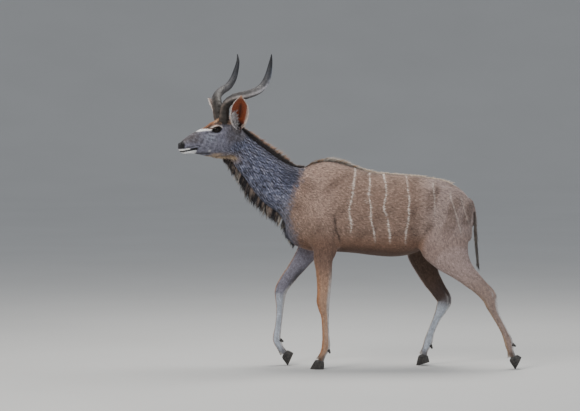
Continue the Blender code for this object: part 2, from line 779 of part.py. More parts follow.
def nape_locks(collection):
    """The upright mane from behind the ears to the dip before the withers."""
    draw = random.Random(11)
    locks = []
    count = 9
    for index in range(count):
        t = index / (count - 1)
        here, out, along = neck_edge(0.06 + 0.57 * t, True)
        for row in (-1, 1):
            way = (out + along * 0.42 + Vector((0, 0.16 * row, 0))).normalized()
            side = (along - way * along.dot(way)).normalized()
            root = here + Vector((0, 0.006 * row, 0)) + along * (0.013 * row)
            locks.append(lock(root, way, side, nape_height(t) * (0.94 + 0.16 * draw.random()),
                              0.074, 0.012, along * 0.014, 0.014, collection))
    return locks


def throat_length(t):
    """The length of the throat fringe, short under the jaw and long before the breast."""
    return 0.040 + 0.044 * min(1.0, t / 0.55) - 0.034 * max(0.0, t - 0.55)


def throat_way(out):
    """The fringe hangs down and a little forward of square to the throat."""
    return (out * 0.70 + Vector((0.06, 0, -0.74))).normalized()


def throat_fin(reach, collection):
    """The body of the throat fringe, out to a share of its length."""
    roots, ways, heights = [], [], []
    for index in range(13):
        t = index / 12
        here, out, along = neck_edge(0.03 + 0.77 * t, False)
        roots.append(here)
        ways.append(throat_way(out))
        heights.append(throat_length(t) * reach * (0.35 if index == 0 else 1))
    return fin(roots, ways, heights, 0.011, 0.018, collection)


def throat_locks(collection):
    """The fringe under the neck: long locks that hang down and trail a little back."""
    draw = random.Random(17)
    locks = []
    count = 11
    for index in range(count):
        t = index / (count - 1)
        here, out, along = neck_edge(0.035 + 0.73 * t, False)
        for row in (-1, 1):
            way = (throat_way(out) + Vector((0, 0.13 * row, 0))).normalized()
            side = (along - way * along.dot(way)).normalized()
            root = here + Vector((0, 0.008 * row, 0)) + along * (0.014 * row)
            locks.append(lock(root, way, side, throat_length(t) * (0.90 + 0.22 * draw.random()),
                              0.070, 0.012, Vector((0.010, 0, -0.004)), 0.018, collection))
    return locks


def trunk_top(x):
    """The height of the back at a place along the trunk."""
    for before, after in zip(TRUNK, TRUNK[1:]):
        if before[0] <= x <= after[0]:
            t = (x - before[0]) / (after[0] - before[0])
            return before[1] + (after[1] - before[1]) * t
    return TRUNK[-1][1]


def crest_height(t):
    """The height of the crest over the withers, from 0 at the neck to 1 on the back."""
    return 0.008 + 0.026 * math.sin(math.pi * (0.20 + 0.75 * t))


def withers_fin(reach, collection):
    """The body of the crest over the withers."""
    roots, ways, heights = [], [], []
    for index in range(11):
        t = index / 10
        x = -0.325 + 0.390 * t
        roots.append(Vector((x, 0, trunk_top(x) - 0.004)))
        ways.append(Vector((0.50, 0, 0.86)).normalized())
        heights.append(crest_height(t) * reach)
    return fin(roots, ways, heights, 0.010, 0.016, collection)


def withers_locks(collection):
    """The low crest over the withers, which thins out along the back."""
    draw = random.Random(23)
    locks = []
    count = 8
    for index in range(count):
        t = index / (count - 1)
        x = -0.322 + 0.380 * t
        for row in (-1, 1):
            way = Vector((0.62, 0.18 * row, 0.78)).normalized()
            along = Vector((1, 0, 0.02))
            side = (along - way * along.dot(way)).normalized()
            root = Vector((x + 0.012 * row, 0.007 * row, trunk_top(x) - 0.004))
            locks.append(lock(root, way, side, crest_height(t) * (1.05 + 0.25 * draw.random()),
                              0.068, 0.012, Vector((0.012, 0, -0.002)), 0.014, collection))
    return locks


def breast_row(t):
    """Root, way and length of the fringe on the breast, from 0 at the neck to 1 below."""
    root = Vector((-0.402 + 0.058 * t, 0, 0.922 - 0.142 * t))
    way = Vector((-0.48 + 0.18 * t, 0, -0.86)).normalized()
    return root, way, 0.088 - 0.030 * t


def breast_fin(reach, collection):
    """The body of the fringe on the breast."""
    rows = [breast_row(index / 5) for index in range(6)]
    return fin([row[0] for row in rows], [row[1] for row in rows],
               [row[2] * reach for row in rows], 0.011, 0.022, collection)


def breast_locks(collection):
    """The end of the fringe, on the front of the breast."""
    draw = random.Random(31)
    locks = []
    for index in range(4):
        root, way, length = breast_row(index / 3)
        for row in (-1, 1):
            lean = (way + Vector((0, 0.13 * row, 0))).normalized()
            side = Vector((0.55, 0, -0.80))
            side = (side - lean * side.dot(lean)).normalized()
            place = root + Vector((0, 0.010 * row, 0)) + side * (0.008 * row)
            locks.append(lock(place, lean, side, length * (0.90 + 0.22 * draw.random()),
                              0.060, 0.012, Vector((0.008, 0, 0)), 0.020, collection))
    return locks


def limb_plane(rows, index):
    """The place and run of a limb at one of its sections."""
    before, here, after = rows[index - 1], rows[index], rows[min(index + 1, len(rows) - 1)]
    down = Vector((after[0] - before[0], 0, after[1] - before[1])).normalized()
    return Vector((here[0], here[5], here[1])), down


def make_lower_leg(name, rows, lower, collection):
    """From the knee or hock down to the coronet."""
    leg = add_object(name + "_lower", loft(limb_rings(rows[lower - 1:], 10)), collection)
    point, down = limb_plane(rows, lower)
    cut_off(leg, point + down * GAP, -down)
    return leg


def make_hoof(name, rows, tip, inner, collection):
    """One claw of a cloven hoof: a steep front wall, a flat inner wall and a low heel."""
    end = rows[-1]
    before = rows[-2]
    outer = 1 if (end[5] > 0) != inner else -1
    down = Vector((end[0] - before[0], 0, end[1] - before[1])).normalized()
    centre = Vector((end[0], end[5], end[1]))
    level = [
        (0.000, 0.025, 0.027, 0.92, 0.000),
        (0.140, 0.029, 0.030, 1.04, -0.004),
        (0.550, 0.040, 0.033, 1.02, -0.006),
        (1.000, 0.051, 0.034, 1.00, -0.009),
    ]
    rings = []
    sides = 12
    for depth, front, back, wide, slide in level:
        ring = []
        for corner in range(sides):
            turn = 2 * math.pi * corner / sides
            along = math.cos(turn)
            out = math.sin(turn)
            reach = front if along > 0 else back
            point_in = 1 - 0.55 * max(0.0, along) ** 2 * depth
            across = HOOF_WIDTH / 2 * wide
            if out > 0:
                lateral = 0.0013 + across * (1 + out * 0.95) * point_in
            else:
                lateral = 0.0013 + across * (1 + out) * point_in
            ring.append(Vector((-(reach * along) + slide, outer * lateral, -HOOF_HEIGHT * depth)))
        rings.append(ring)
    bm = loft(rings)
    turn = Matrix.Rotation(math.radians(-tip), 4, "Y")
    bmesh.ops.transform(bm, matrix=Matrix.Translation(centre) @ turn, verts=bm.verts)
    word = "inner" if inner else "outer"
    claw = add_object(name + "_hoof_" + word, bm, collection)
    cut_off(claw, centre + down * GAP, -down)
    cut_off(claw, Vector((0, 0, 0)), Vector((0, 0, -1)))
    return claw


def make_dewclaw(name, rows, inner, collection, leg):
    """A small blunt claw behind the fetlock."""
    row = rows[-3]
    point, down = limb_plane(rows, len(rows) - 3)
    back = Vector((-down.z, 0, down.x))
    outer = 1 if (row[5] > 0) != inner else -1
    place = point + back * (row[3] + 0.001) + Vector((0, outer * 0.0135, 0)) + down * 0.006
    bm = bmesh.new()
    bmesh.ops.create_cone(bm, cap_ends=True, segments=6, radius1=0.0105, radius2=0.0045,
                          depth=0.026)
    aim = (down * 0.75 + back * 0.70).normalized()
    turn = aim.to_track_quat("Z", "Y").to_matrix().to_4x4()
    bmesh.ops.transform(bm, matrix=Matrix.Translation(place) @ turn, verts=bm.verts)
    word = "inner" if inner else "outer"
    claw = add_object(name + "_dewclaw_" + word, bm, collection)
    keep_clear(claw, leg, collection)
    return claw


def part_body(body, parts):
    """Part the blended skin into torso, neck and the four upper legs."""
    upper_legs = {}
    slope = Vector((1, 0, THIGH_CUT[2])).normalized()
    thigh_out = Vector((slope.z, 0, -slope.x))
    thigh_point = Vector((THIGH_CUT[0], 0, THIGH_CUT[1]))
    for name, (rows, lower, _) in LEGS.items():
        side = -1 if rows[0][5] < 0 else 1
        piece = copy_object(body, name + "_upper", parts)
        cut_off(piece, Vector((0, side * GAP / 2, 0)), Vector((0, -side, 0)))
        if name.startswith("fore"):
            cut_off(piece, Vector((0.05, 0, 0)), Vector((1, 0, 0)))
            cut_off(piece, Vector((0, 0, FORELEG_CUT - GAP)), Vector((0, 0, 1)))
        else:
            cut_off(piece, Vector((0.20, 0, 0)), Vector((-1, 0, 0)))
            cut_off(piece, thigh_point + thigh_out * GAP, -thigh_out)
        point, down = limb_plane(rows, lower)
        cut_off(piece, point, down)
        upper_legs[name] = piece
    torso = copy_object(body, "torso", parts)
    neck = copy_object(body, "neck", parts)
    high, low = NECK_CUT
    run = Vector((low[0] - high[0], 0, low[1] - high[1])).normalized()
    forward = Vector((run.z, 0, -run.x))
    point = Vector((high[0], 0, high[1]))
    cut_off(torso, point, forward)
    cut_off(neck, point + forward * GAP, -forward)
    cut_off(neck, head_point(HEAD_CUT, 0, 1.4) + head_cut_direction() * GAP,
            -head_cut_direction())
    cut_torso_legs(torso, thigh_point, thigh_out)
    return torso, neck, upper_legs, (point, forward)


def cut_torso_legs(torso, thigh_point, thigh_out):
    """Take the legs off the torso: the fore pair by a level cut, the hind by a sloping one."""
    bm = bmesh.new()
    bm.from_mesh(torso.data)
    for point, out, front in ((Vector((0, 0, FORELEG_CUT)), Vector((0, 0, -1)), True),
                              (thigh_point, thigh_out, False)):
        faces = []
        for face in bm.faces:
            middle = face.calc_center_median()
            low = middle.z < 0.80 if front else middle.z < 0.90
            if low and (middle.x < 0.10) == front:
                faces.append(face)
        edges = {edge for face in faces for edge in face.edges}
        verts = {vert for face in faces for vert in face.verts}
        bmesh.ops.bisect_plane(bm, geom=list(verts) + list(edges) + faces, dist=1e-6,
                               plane_co=point, plane_no=out)
        gone = []
        for face in bm.faces:
            middle = face.calc_center_median()
            if (middle.x < 0.10) == front and (middle - point).dot(out) > 1e-7:
                gone.append(face)
        bmesh.ops.delete(bm, geom=gone, context="FACES")
    open_edges = [edge for edge in bm.edges if edge.is_boundary]
    bmesh.ops.holes_fill(bm, edges=open_edges, sides=0)
    bm.to_mesh(torso.data)
    bm.free()
    keep_largest(torso)


def finish(thing, material):
    """Give a node its material and its place over the middle of the floor."""
    thing.data.transform(Matrix.Translation(STANCE_SHIFT))
    thing.data.materials.clear()
    thing.data.materials.append(material)
    thing.data.shade_smooth()
    thing.data.set_sharp_from_angle(angle=math.radians(50))
    thing.data.update()


def main():
    """Build every node."""
    clear_scene()
    parts = make_collection("greater_kudu")
    coat = make_material("coat_brown", (0.20, 0.145, 0.10), 0.85)
    slate = make_material("coat_slate", (0.13, 0.125, 0.125), 0.85)
    horn = make_material("horn_keratin", (0.10, 0.085, 0.07), 0.5)
    hoof = make_material("hoof_keratin", (0.02, 0.018, 0.017), 0.45)
    eye = make_material("eye_dark", (0.01, 0.007, 0.005), 0.08)

    body = make_body(parts)
    torso, neck, upper_legs, (neck_point, neck_way) = part_body(body, parts)
    bpy.data.objects.remove(body)

    combine(neck, [nape_fin(0.5, parts), throat_fin(0.5, parts)] + nape_locks(parts)
            + throat_locks(parts), "UNION")
    cut_off(neck, neck_point + neck_way * GAP, -neck_way)
    cut_off(neck, head_point(HEAD_CUT, 0, 1.4) + head_cut_direction() * GAP,
            -head_cut_direction())
    combine(torso, [withers_fin(0.5, parts), breast_fin(0.5, parts)] + withers_locks(parts)
            + breast_locks(parts), "UNION")
    cut_off(torso, neck_point, neck_way)

    tail = make_tail_core(parts)
    combine(tail, tail_locks(parts), "UNION")
    keep_clear(tail, torso, parts)

    head = make_head(parts)
    horns = [make_horn(side, parts) for side in (1, -1)]
    for piece in horns:
        keep_clear(piece, head, parts)
    left_ear, right_ear = make_ear(1, parts), make_ear(-1, parts)
    for piece in (left_ear, right_ear):
        keep_clear(piece, head, parts)
    eyes = []
    for side in (1, -1):
        word = "left" if side > 0 else "right"
        eyes.append(eye_ball("eye_" + word, side, EYE_RADIUS, parts))

    hooves = []
    lower_legs = []
    for name, (rows, lower, tip) in LEGS.items():
        leg = make_lower_leg(name, rows, lower, parts)
        lower_legs.append(leg)
        for inner in (False, True):
            hooves.append(make_hoof(name, rows, tip, inner, parts))
            hooves.append(make_dewclaw(name, rows, inner, parts, leg))

    for thing in [torso, head, left_ear, right_ear, tail, *upper_legs.values(), *lower_legs]:
        finish(thing, coat)
    finish(neck, slate)
    for thing in horns:
        finish(thing, horn)
    for thing in hooves:
        finish(thing, hoof)
    for thing in eyes:
        finish(thing, eye)


main()
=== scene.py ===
"""Greater kudu, a young bull in mid-stride: the looks of a still, life-size model.

Metres, +Z up. The nose points to -X and the animal's left side to -Y. The skin and its coat stand
for the solids of flesh; eyes, horns and hooves are pieces of their own.
"""

import json
import math

import bpy
import numpy as np
from mathutils import Matrix, Vector
from mathutils.bvhtree import BVHTree

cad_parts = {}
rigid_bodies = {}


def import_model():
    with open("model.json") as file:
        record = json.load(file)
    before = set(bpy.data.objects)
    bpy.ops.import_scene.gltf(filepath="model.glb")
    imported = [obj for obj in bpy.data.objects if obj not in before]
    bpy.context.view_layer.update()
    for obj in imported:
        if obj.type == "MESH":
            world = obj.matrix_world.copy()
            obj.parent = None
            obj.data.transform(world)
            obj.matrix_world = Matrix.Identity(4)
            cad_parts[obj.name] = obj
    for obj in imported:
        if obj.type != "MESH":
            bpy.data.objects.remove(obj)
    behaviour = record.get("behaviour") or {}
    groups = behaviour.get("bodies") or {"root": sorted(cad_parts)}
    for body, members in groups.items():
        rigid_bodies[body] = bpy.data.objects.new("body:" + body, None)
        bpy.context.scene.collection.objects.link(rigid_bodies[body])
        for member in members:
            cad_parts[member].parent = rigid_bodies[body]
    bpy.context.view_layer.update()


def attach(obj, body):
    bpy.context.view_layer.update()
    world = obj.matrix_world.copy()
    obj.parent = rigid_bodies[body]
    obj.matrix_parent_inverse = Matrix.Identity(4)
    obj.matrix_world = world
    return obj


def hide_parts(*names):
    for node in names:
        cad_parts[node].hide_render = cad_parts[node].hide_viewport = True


for leftover in list(bpy.data.objects):
    bpy.data.objects.remove(leftover)
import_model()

# The flesh of trunk, neck and legs
# One body under one hide, from the breast to the coronets. It is lofted from cross-sections,
# melted into one surface with the muscles that show, and modelled with hollows and swellings.
STANCE = Vector((0.005, 0.052, 0.0))
TRUNK = [
    (-0.398, 0.985, 0.805, 0.055), (-0.353, 1.130, 0.758, 0.120), (-0.294, 1.218, 0.731, 0.152),
    (-0.233, 1.256, 0.715, 0.170), (-0.153, 1.273, 0.709, 0.182), (-0.061, 1.262, 0.706, 0.194),
    (0.037, 1.231, 0.700, 0.206), (0.153, 1.202, 0.686, 0.218), (0.276, 1.192, 0.679, 0.222),
    (0.380, 1.184, 0.697, 0.214), (0.490, 1.169, 0.745, 0.198), (0.582, 1.150, 0.778, 0.184),
    (0.662, 1.112, 0.798, 0.158), (0.722, 1.056, 0.822, 0.118), (0.758, 0.985, 0.872, 0.060),
]
NECK = [
    (-0.697, 1.500, -0.785, 1.308, 0.056, -0.100), (-0.652, 1.462, -0.744, 1.284, 0.060, -0.085),
    (-0.602, 1.419, -0.701, 1.227, 0.065, -0.068), (-0.541, 1.368, -0.646, 1.158, 0.072, -0.050),
    (-0.474, 1.316, -0.588, 1.076, 0.082, -0.032), (-0.403, 1.268, -0.521, 1.002, 0.095, -0.018),
    (-0.325, 1.235, -0.435, 0.938, 0.112, -0.008), (-0.245, 1.232, -0.374, 0.828, 0.135, -0.002),
    (-0.172, 1.208, -0.294, 0.754, 0.150, 0.000),
]
# Limb sections: X, Z, reach to the front, reach to the rear, half width, sideways place
LIMBS = {
    "fore_left": [
        (-0.245, 1.060, 0.070, 0.080, 0.050, -0.110), (-0.230, 0.980, 0.095, 0.100, 0.066, -0.112),
        (-0.196, 0.859, 0.090, 0.098, 0.066, -0.122), (-0.156, 0.755, 0.080, 0.084, 0.056, -0.128),
        (-0.166, 0.675, 0.062, 0.064, 0.048, -0.130), (-0.161, 0.595, 0.052, 0.054, 0.041, -0.128),
        (-0.160, 0.516, 0.045, 0.046, 0.035, -0.126), (-0.162, 0.460, 0.043, 0.042, 0.035, -0.124),
        (-0.166, 0.417, 0.042, 0.042, 0.036, -0.123), (-0.162, 0.372, 0.035, 0.036, 0.031, -0.122),
        (-0.156, 0.326, 0.025, 0.028, 0.023, -0.120), (-0.153, 0.264, 0.022, 0.025, 0.019, -0.118),
        (-0.151, 0.203, 0.022, 0.025, 0.019, -0.116), (-0.149, 0.154, 0.026, 0.029, 0.025, -0.115),
        (-0.153, 0.123, 0.026, 0.027, 0.026, -0.115), (-0.170, 0.086, 0.022, 0.023, 0.024, -0.115),
        (-0.186, 0.054, 0.027, 0.028, 0.029, -0.115),
    ],
    "fore_right": [
        (-0.245, 1.040, 0.070, 0.080, 0.050, 0.110), (-0.236, 0.960, 0.095, 0.100, 0.066, 0.112),
        (-0.228, 0.840, 0.088, 0.095, 0.066, 0.118), (-0.250, 0.728, 0.072, 0.074, 0.055, 0.122),
        (-0.306, 0.640, 0.056, 0.060, 0.047, 0.122), (-0.360, 0.566, 0.048, 0.050, 0.039, 0.120),
        (-0.400, 0.510, 0.043, 0.043, 0.035, 0.117), (-0.424, 0.459, 0.040, 0.038, 0.036, 0.115),
        (-0.429, 0.408, 0.031, 0.032, 0.031, 0.113), (-0.431, 0.362, 0.024, 0.026, 0.023, 0.111),
        (-0.435, 0.300, 0.021, 0.023, 0.019, 0.109), (-0.442, 0.240, 0.021, 0.023, 0.019, 0.107),
        (-0.450, 0.186, 0.024, 0.026, 0.024, 0.106), (-0.448, 0.152, 0.026, 0.027, 0.026, 0.105),
        (-0.429, 0.110, 0.022, 0.023, 0.024, 0.105), (-0.407, 0.0745, 0.026, 0.027, 0.029, 0.105),
    ],
    "hind_left": [
        (0.640, 1.040, 0.100, 0.085, 0.060, -0.090), (0.616, 0.960, 0.140, 0.125, 0.085, -0.098),
        (0.594, 0.870, 0.165, 0.158, 0.095, -0.108), (0.578, 0.775, 0.168, 0.160, 0.084, -0.120),
        (0.614, 0.690, 0.122, 0.126, 0.069, -0.127), (0.668, 0.620, 0.080, 0.086, 0.053, -0.128),
        (0.727, 0.560, 0.060, 0.066, 0.040, -0.127), (0.790, 0.500, 0.046, 0.055, 0.031, -0.126),
        (0.842, 0.444, 0.043, 0.054, 0.031, -0.125), (0.862, 0.392, 0.036, 0.041, 0.029, -0.124),
        (0.884, 0.338, 0.026, 0.029, 0.022, -0.122), (0.913, 0.283, 0.022, 0.025, 0.019, -0.120),
        (0.942, 0.227, 0.022, 0.025, 0.019, -0.118), (0.963, 0.178, 0.026, 0.030, 0.025, -0.116),
        (0.972, 0.146, 0.026, 0.028, 0.026, -0.115), (0.980, 0.110, 0.022, 0.023, 0.024, -0.115),
        (0.987, 0.0745, 0.026, 0.027, 0.028, -0.115),
    ],
    "hind_right": [
        (0.630, 1.030, 0.100, 0.085, 0.060, 0.090), (0.592, 0.950, 0.140, 0.125, 0.085, 0.098),
        (0.548, 0.860, 0.160, 0.158, 0.095, 0.108), (0.492, 0.770, 0.172, 0.158, 0.083, 0.120),
        (0.464, 0.680, 0.117, 0.118, 0.067, 0.126), (0.470, 0.606, 0.072, 0.084, 0.054, 0.127),
        (0.505, 0.530, 0.058, 0.066, 0.043, 0.126), (0.546, 0.466, 0.047, 0.056, 0.034, 0.125),
        (0.582, 0.404, 0.043, 0.052, 0.031, 0.124), (0.570, 0.352, 0.036, 0.040, 0.028, 0.122),
        (0.546, 0.302, 0.026, 0.029, 0.022, 0.120), (0.522, 0.250, 0.022, 0.025, 0.019, 0.118),
        (0.502, 0.200, 0.022, 0.025, 0.020, 0.117), (0.490, 0.160, 0.026, 0.030, 0.025, 0.116),
        (0.482, 0.130, 0.026, 0.028, 0.026, 0.115), (0.468, 0.098, 0.022, 0.023, 0.024, 0.114),
        (0.456, 0.0660, 0.026, 0.027, 0.028, 0.114),
    ],
}
TAIL = [
    (0.688, 1.046, 0.027), (0.738, 1.018, 0.022), (0.761, 0.965, 0.015), (0.767, 0.890, 0.012),
    (0.769, 0.820, 0.010), (0.776, 0.740, 0.007), (0.783, 0.672, 0.003),
]
# Muscles that stand proud on both sides: X, Y, Z, half length, half width, half height, slope
MUSCLES = [
    (-0.222, 0.093, 1.035, 0.095, 0.070, 0.160, -16),
    (-0.175, 0.112, 0.905, 0.105, 0.080, 0.130, 24),
    (-0.300, 0.082, 0.930, 0.075, 0.062, 0.100, -10),
    (0.590, 0.106, 0.985, 0.165, 0.084, 0.135, 12),
    (0.510, 0.104, 1.068, 0.105, 0.060, 0.065, 10),
    (0.680, 0.085, 0.900, 0.070, 0.064, 0.120, -8),
]
# Hollows and swellings of the near and far side: X, Z, reach along X and Z, how far it moves
FORMS = [
    (-0.085, 0.930, 0.030, 0.130, -0.006), (-0.105, 1.090, 0.040, 0.090, -0.004),
    (-0.094, 0.885, 0.013, 0.075, -0.008), (-0.070, 0.800, 0.016, 0.030, -0.005),
    (0.395, 1.035, 0.060, 0.070, -0.006), (0.420, 0.845, 0.040, 0.110, -0.009),
    (-0.290, 0.985, 0.025, 0.090, -0.006),
    (-0.215, 0.985, 0.030, 0.120, 0.005), (-0.245, 0.905, 0.060, 0.040, 0.005),
    (0.690, 0.960, 0.022, 0.110, -0.006), (0.560, 0.900, 0.110, 0.110, 0.006),
    (-0.130, 0.800, 0.045, 0.035, 0.006), (0.110, 0.760, 0.200, 0.050, 0.004),
    (0.715, 1.000, 0.030, 0.030, 0.006), (-0.455, 1.115, 0.110, 0.035, -0.004),
]
LOWER_LEG_ROW = {"fore_left": 7, "fore_right": 7, "hind_left": 8, "hind_right": 8}
SIDES = ((-1, "right"), (1, "left"))


def smooth_rows(rows, steps):
    """Pass a smooth curve through each column of a table, with some rows between each two."""
    result = []
    for index in range(len(rows) - 1):
        before = rows[max(index - 1, 0)]
        start, end = rows[index], rows[index + 1]
        after = rows[min(index + 2, len(rows) - 1)]
        for step in range(steps):
            t = step / steps
            result.append(tuple(
                0.5 * (2 * b + (c - a) * t + (2 * a - 5 * b + 4 * c - d) * t * t
                       + (3 * b - a - 3 * c + d) * t ** 3)
                for a, b, c, d in zip(before, start, end, after)
            ))
    result.append(tuple(rows[-1]))
    return result


def loft(name, rings, closed=False):
    """Skin rings of points into a closed shape, capped at both ends or run round into a hoop."""
    count = len(rings[0])
    points = [tuple(point) for ring in rings for point in ring]
    faces = []
    spans = len(rings) if closed else len(rings) - 1
    for row in range(spans):
        here, there = row * count, (row + 1) % len(rings) * count
        for corner in range(count):
            after = (corner + 1) % count
            faces.append((here + corner, here + after, there + after, there + corner))
    if not closed:
        faces.append(tuple(range(count))[::-1])
        faces.append(tuple(range(len(points) - count, len(points))))
    mesh = bpy.data.meshes.new(name)
    mesh.from_pydata(points, [], faces)
    shape = bpy.data.objects.new(name, mesh)
    bpy.context.scene.collection.objects.link(shape)
    face_outwards(shape)
    return shape


def select_only(shape):
    """Make one object the only selected and active one."""
    bpy.ops.object.select_all(action="DESELECT")
    shape.select_set(True)
    bpy.context.view_layer.objects.active = shape


def face_outwards(shape):
    """Turn all faces outwards."""
    select_only(shape)
    bpy.ops.object.mode_set(mode="EDIT")
    bpy.ops.mesh.select_all(action="SELECT")
    bpy.ops.mesh.normals_make_consistent(inside=False)
    bpy.ops.object.mode_set(mode="OBJECT")


def egg_ring(middle, up, side, half_height, half_width, narrowing, sides):
    """A ring that is widest below its middle, as a rib cage is."""
    ring = []
    for index in range(sides):
        turn = 2 * math.pi * index / sides
        across = half_width * math.cos(turn) * (1 - narrowing * math.sin(turn))
        ring.append(middle + up * (half_height * math.sin(turn)) + side * across)
    return ring


def to_front(table, index):
    """The way to the front, square to the run of a table of X, Z places at one row."""
    before, after = table[max(index - 1, 0)], table[min(index + 1, len(table) - 1)]
    down = Vector((after[0] - before[0], 0, after[1] - before[1])).normalized()
    return Vector((down.z, 0, -down.x))


def limb_rings(rows, sides, steps):
    """Sections square to a limb's own run, with unlike reach to front and rear."""
    table = smooth_rows(rows, steps)
    rings = []
    for index, row in enumerate(table):
        front = to_front(table, index)
        middle = Vector((row[0], row[5], row[1]))
        ring = []
        for corner in range(sides):
            turn = 2 * math.pi * corner / sides
            reach = row[2] if math.cos(turn) > 0 else row[3]
            ring.append(middle + front * (reach * math.cos(turn))
                        + Vector((0, 1, 0)) * (row[4] * math.sin(turn)))
        rings.append(ring)
    return rings


def ball(place, radii, slope=0.0, yaw=0.0):
    """A stretched ball, its length tipped by slope in the XZ plane and turned by yaw about Z."""
    bpy.ops.object.select_all(action="DESELECT")
    bpy.ops.mesh.primitive_uv_sphere_add(segments=32, ring_count=20, radius=1.0)
    shape = bpy.context.object
    turn = Matrix.Rotation(yaw, 4, "Z") @ Matrix.Rotation(math.radians(slope), 4, "Y")
    shape.data.transform(Matrix.Translation(place) @ turn @ Matrix.Diagonal((*radii, 1.0)))
    return shape


def apply_modifier(shape, kind, **values):
    """Add a modifier with its values and apply it at once."""
    select_only(shape)
    modifier = shape.modifiers.new("work", kind)
    for name, value in values.items():
        setattr(modifier, name, value)
    bpy.ops.object.modifier_apply(modifier="work")


def melt(name, shapes, voxel, smoothing, triangles):
    """Join closed shapes, melt them into one smooth surface and thin it to so many triangles."""
    select_only(shapes[0])
    for shape in shapes:
        shape.select_set(True)
    bpy.ops.object.join()
    form = bpy.context.object
    form.name = name
    apply_modifier(form, "REMESH", mode="VOXEL", voxel_size=voxel)
    apply_modifier(form, "SMOOTH", factor=0.5, iterations=smoothing)
    share = triangles / (2 * len(form.data.polygons))
    if share < 1:
        apply_modifier(form, "DECIMATE", ratio=share)
    return form


def trunk_rings(sides, steps):
    """Upright sections from the breast to the buttocks."""
    rings = []
    for place, top, bottom, half_width in smooth_rows(TRUNK, steps):
        narrowing = 0.22 if place < 0.45 else 0.12
        rings.append(egg_ring(Vector((place, 0, (top + bottom) / 2)), Vector((0, 0, 1)),
                              Vector((0, 1, 0)), (top - bottom) / 2, half_width, narrowing, sides))
    return rings


def neck_rings(sides, steps):
    """Sections of the neck, which runs from the poll down into the chest."""
    rings = []
    for row in smooth_rows(NECK, steps):
        top = Vector((row[0], row[5], row[1]))
        bottom = Vector((row[2], row[5], row[3]))
        half = (top - bottom) / 2
        rings.append(egg_ring((top + bottom) / 2, half.normalized(), Vector((0, 1, 0)),
                              half.length, row[4], 0.12, sides))
    return rings


def tail_rings(sides):
    """Sections of the dock of the tail."""
    rings = []
    table = smooth_rows(TAIL, 3)
    for index, (x, z, radius) in enumerate(table):
        rings.append(egg_ring(Vector((x, 0, z)), to_front(table, index), Vector((0, 1, 0)),
                              radius * 0.8, radius * 1.2, 0.0, sides))
    return rings


flesh = [loft("trunk", trunk_rings(48, 5)), loft("neck", neck_rings(40, 5))]
for name, rows in LIMBS.items():
    flesh.append(loft("upper_leg", limb_rings(rows[:LOWER_LEG_ROW[name] + 3], 28, 4)))
for x, y, z, long, wide, high, slope in MUSCLES:
    for side in (-1, 1):
        flesh.append(ball(Vector((x, side * y, z)), (long, wide, high), slope))

# Head: its skull, cheeks, muzzle and lids
# A long narrow head, turned a little to its left. Brow, cheek and lips are fuller than the skull
# under them, a rim of lid lies round each eye, and the ears are leaf-shaped cups on round roots.
HEAD_PIVOT = Vector((-0.6866, -0.100, 0.0))
HEAD_YAW = math.radians(27)
HEAD_RISE = 0.008
HEAD = [
    (-0.020, 1.470, 1.330, 0.045), (0.000, 1.493, 1.318, 0.052), (0.055, 1.524, 1.300, 0.063),
    (0.096, 1.529, 1.291, 0.068), (0.138, 1.522, 1.290, 0.066), (0.179, 1.505, 1.293, 0.058),
    (0.220, 1.478, 1.299, 0.049), (0.261, 1.459, 1.308, 0.042), (0.303, 1.440, 1.315, 0.038),
    (0.344, 1.416, 1.314, 0.036), (0.368, 1.399, 1.315, 0.034), (0.385, 1.384, 1.326, 0.029),
    (0.396, 1.369, 1.342, 0.018),
]
EYE_PLACE = (0.168, 0.0448, 1.460)
EYE_RADIUS = 0.0240
EYE_OPENING = (0.0265, 0.0160)
EAR_ROOT = (0.024, 0.058, 1.472)
EAR_TIPS = {1: (0.090, 0.233, 1.668), -1: (0.084, 0.236, 1.648)}
EAR_OPENING = (0.45, 0.89, 0.0)
EAR_WIDTH = 0.110
EAR_WALL = 0.0048
# Swellings of the head on both sides: forward, outward, height, three half sizes, slope
HEAD_SWELLINGS = [
    (0.168, 0.0400, 1.461, 0.044, 0.026, 0.032, -14), (0.100, 0.040, 1.368, 0.062, 0.034, 0.052, 0),
    (0.232, 0.026, 1.372, 0.060, 0.022, 0.026, -14), (0.020, 0.042, 1.464, 0.024, 0.022, 0.026, 0),
    (0.373, 0.021, 1.369, 0.021, 0.015, 0.016, 0), (0.346, 0.024, 1.350, 0.038, 0.013, 0.012, -6),
    (0.335, 0.021, 1.327, 0.038, 0.013, 0.011, -5), (0.145, 0.052, 1.430, 0.050, 0.014, 0.011, -8),
    (0.050, 0.036, 1.350, 0.036, 0.024, 0.042, 20), (0.104, 0.036, 1.509, 0.034, 0.025, 0.019, 0),
]
BODY_VOXEL, SKULL_VOXEL = 0.0062, 0.0030
MELT_TRIANGLES, SKIN_TRIANGLES = 400000, 165000
skin_voxel = 0.0027


def edge(value, start, end):
    """A smooth step from 0 at start to 1 at end, either way round."""
    t = np.clip((value - start) / (end - start), 0, 1)
    return t * t * (3 - 2 * t)


def head_point(forward, left, height):
    """A place in the head's own directions, turned with the head."""
    sine, cosine = math.sin(HEAD_YAW), math.cos(HEAD_YAW)
    return Vector((HEAD_PIVOT.x - cosine * forward + sine * left,
                   HEAD_PIVOT.y - sine * forward - cosine * left, height + HEAD_RISE))


def head_way(forward, left, up):
    """A direction in the head's own directions."""
    return head_point(forward, left, up) - head_point(0, 0, 0)


def head_rings(sides, steps):
    """Upright sections from the poll to the lips."""
    rings = []
    for forward, top, bottom, half_width in smooth_rows(HEAD, steps):
        rings.append(egg_ring(head_point(forward, 0, (top + bottom) / 2), Vector((0, 0, 1)),
                              head_way(0, 1, 0), (top - bottom) / 2, half_width, 0.10, sides))
    return rings


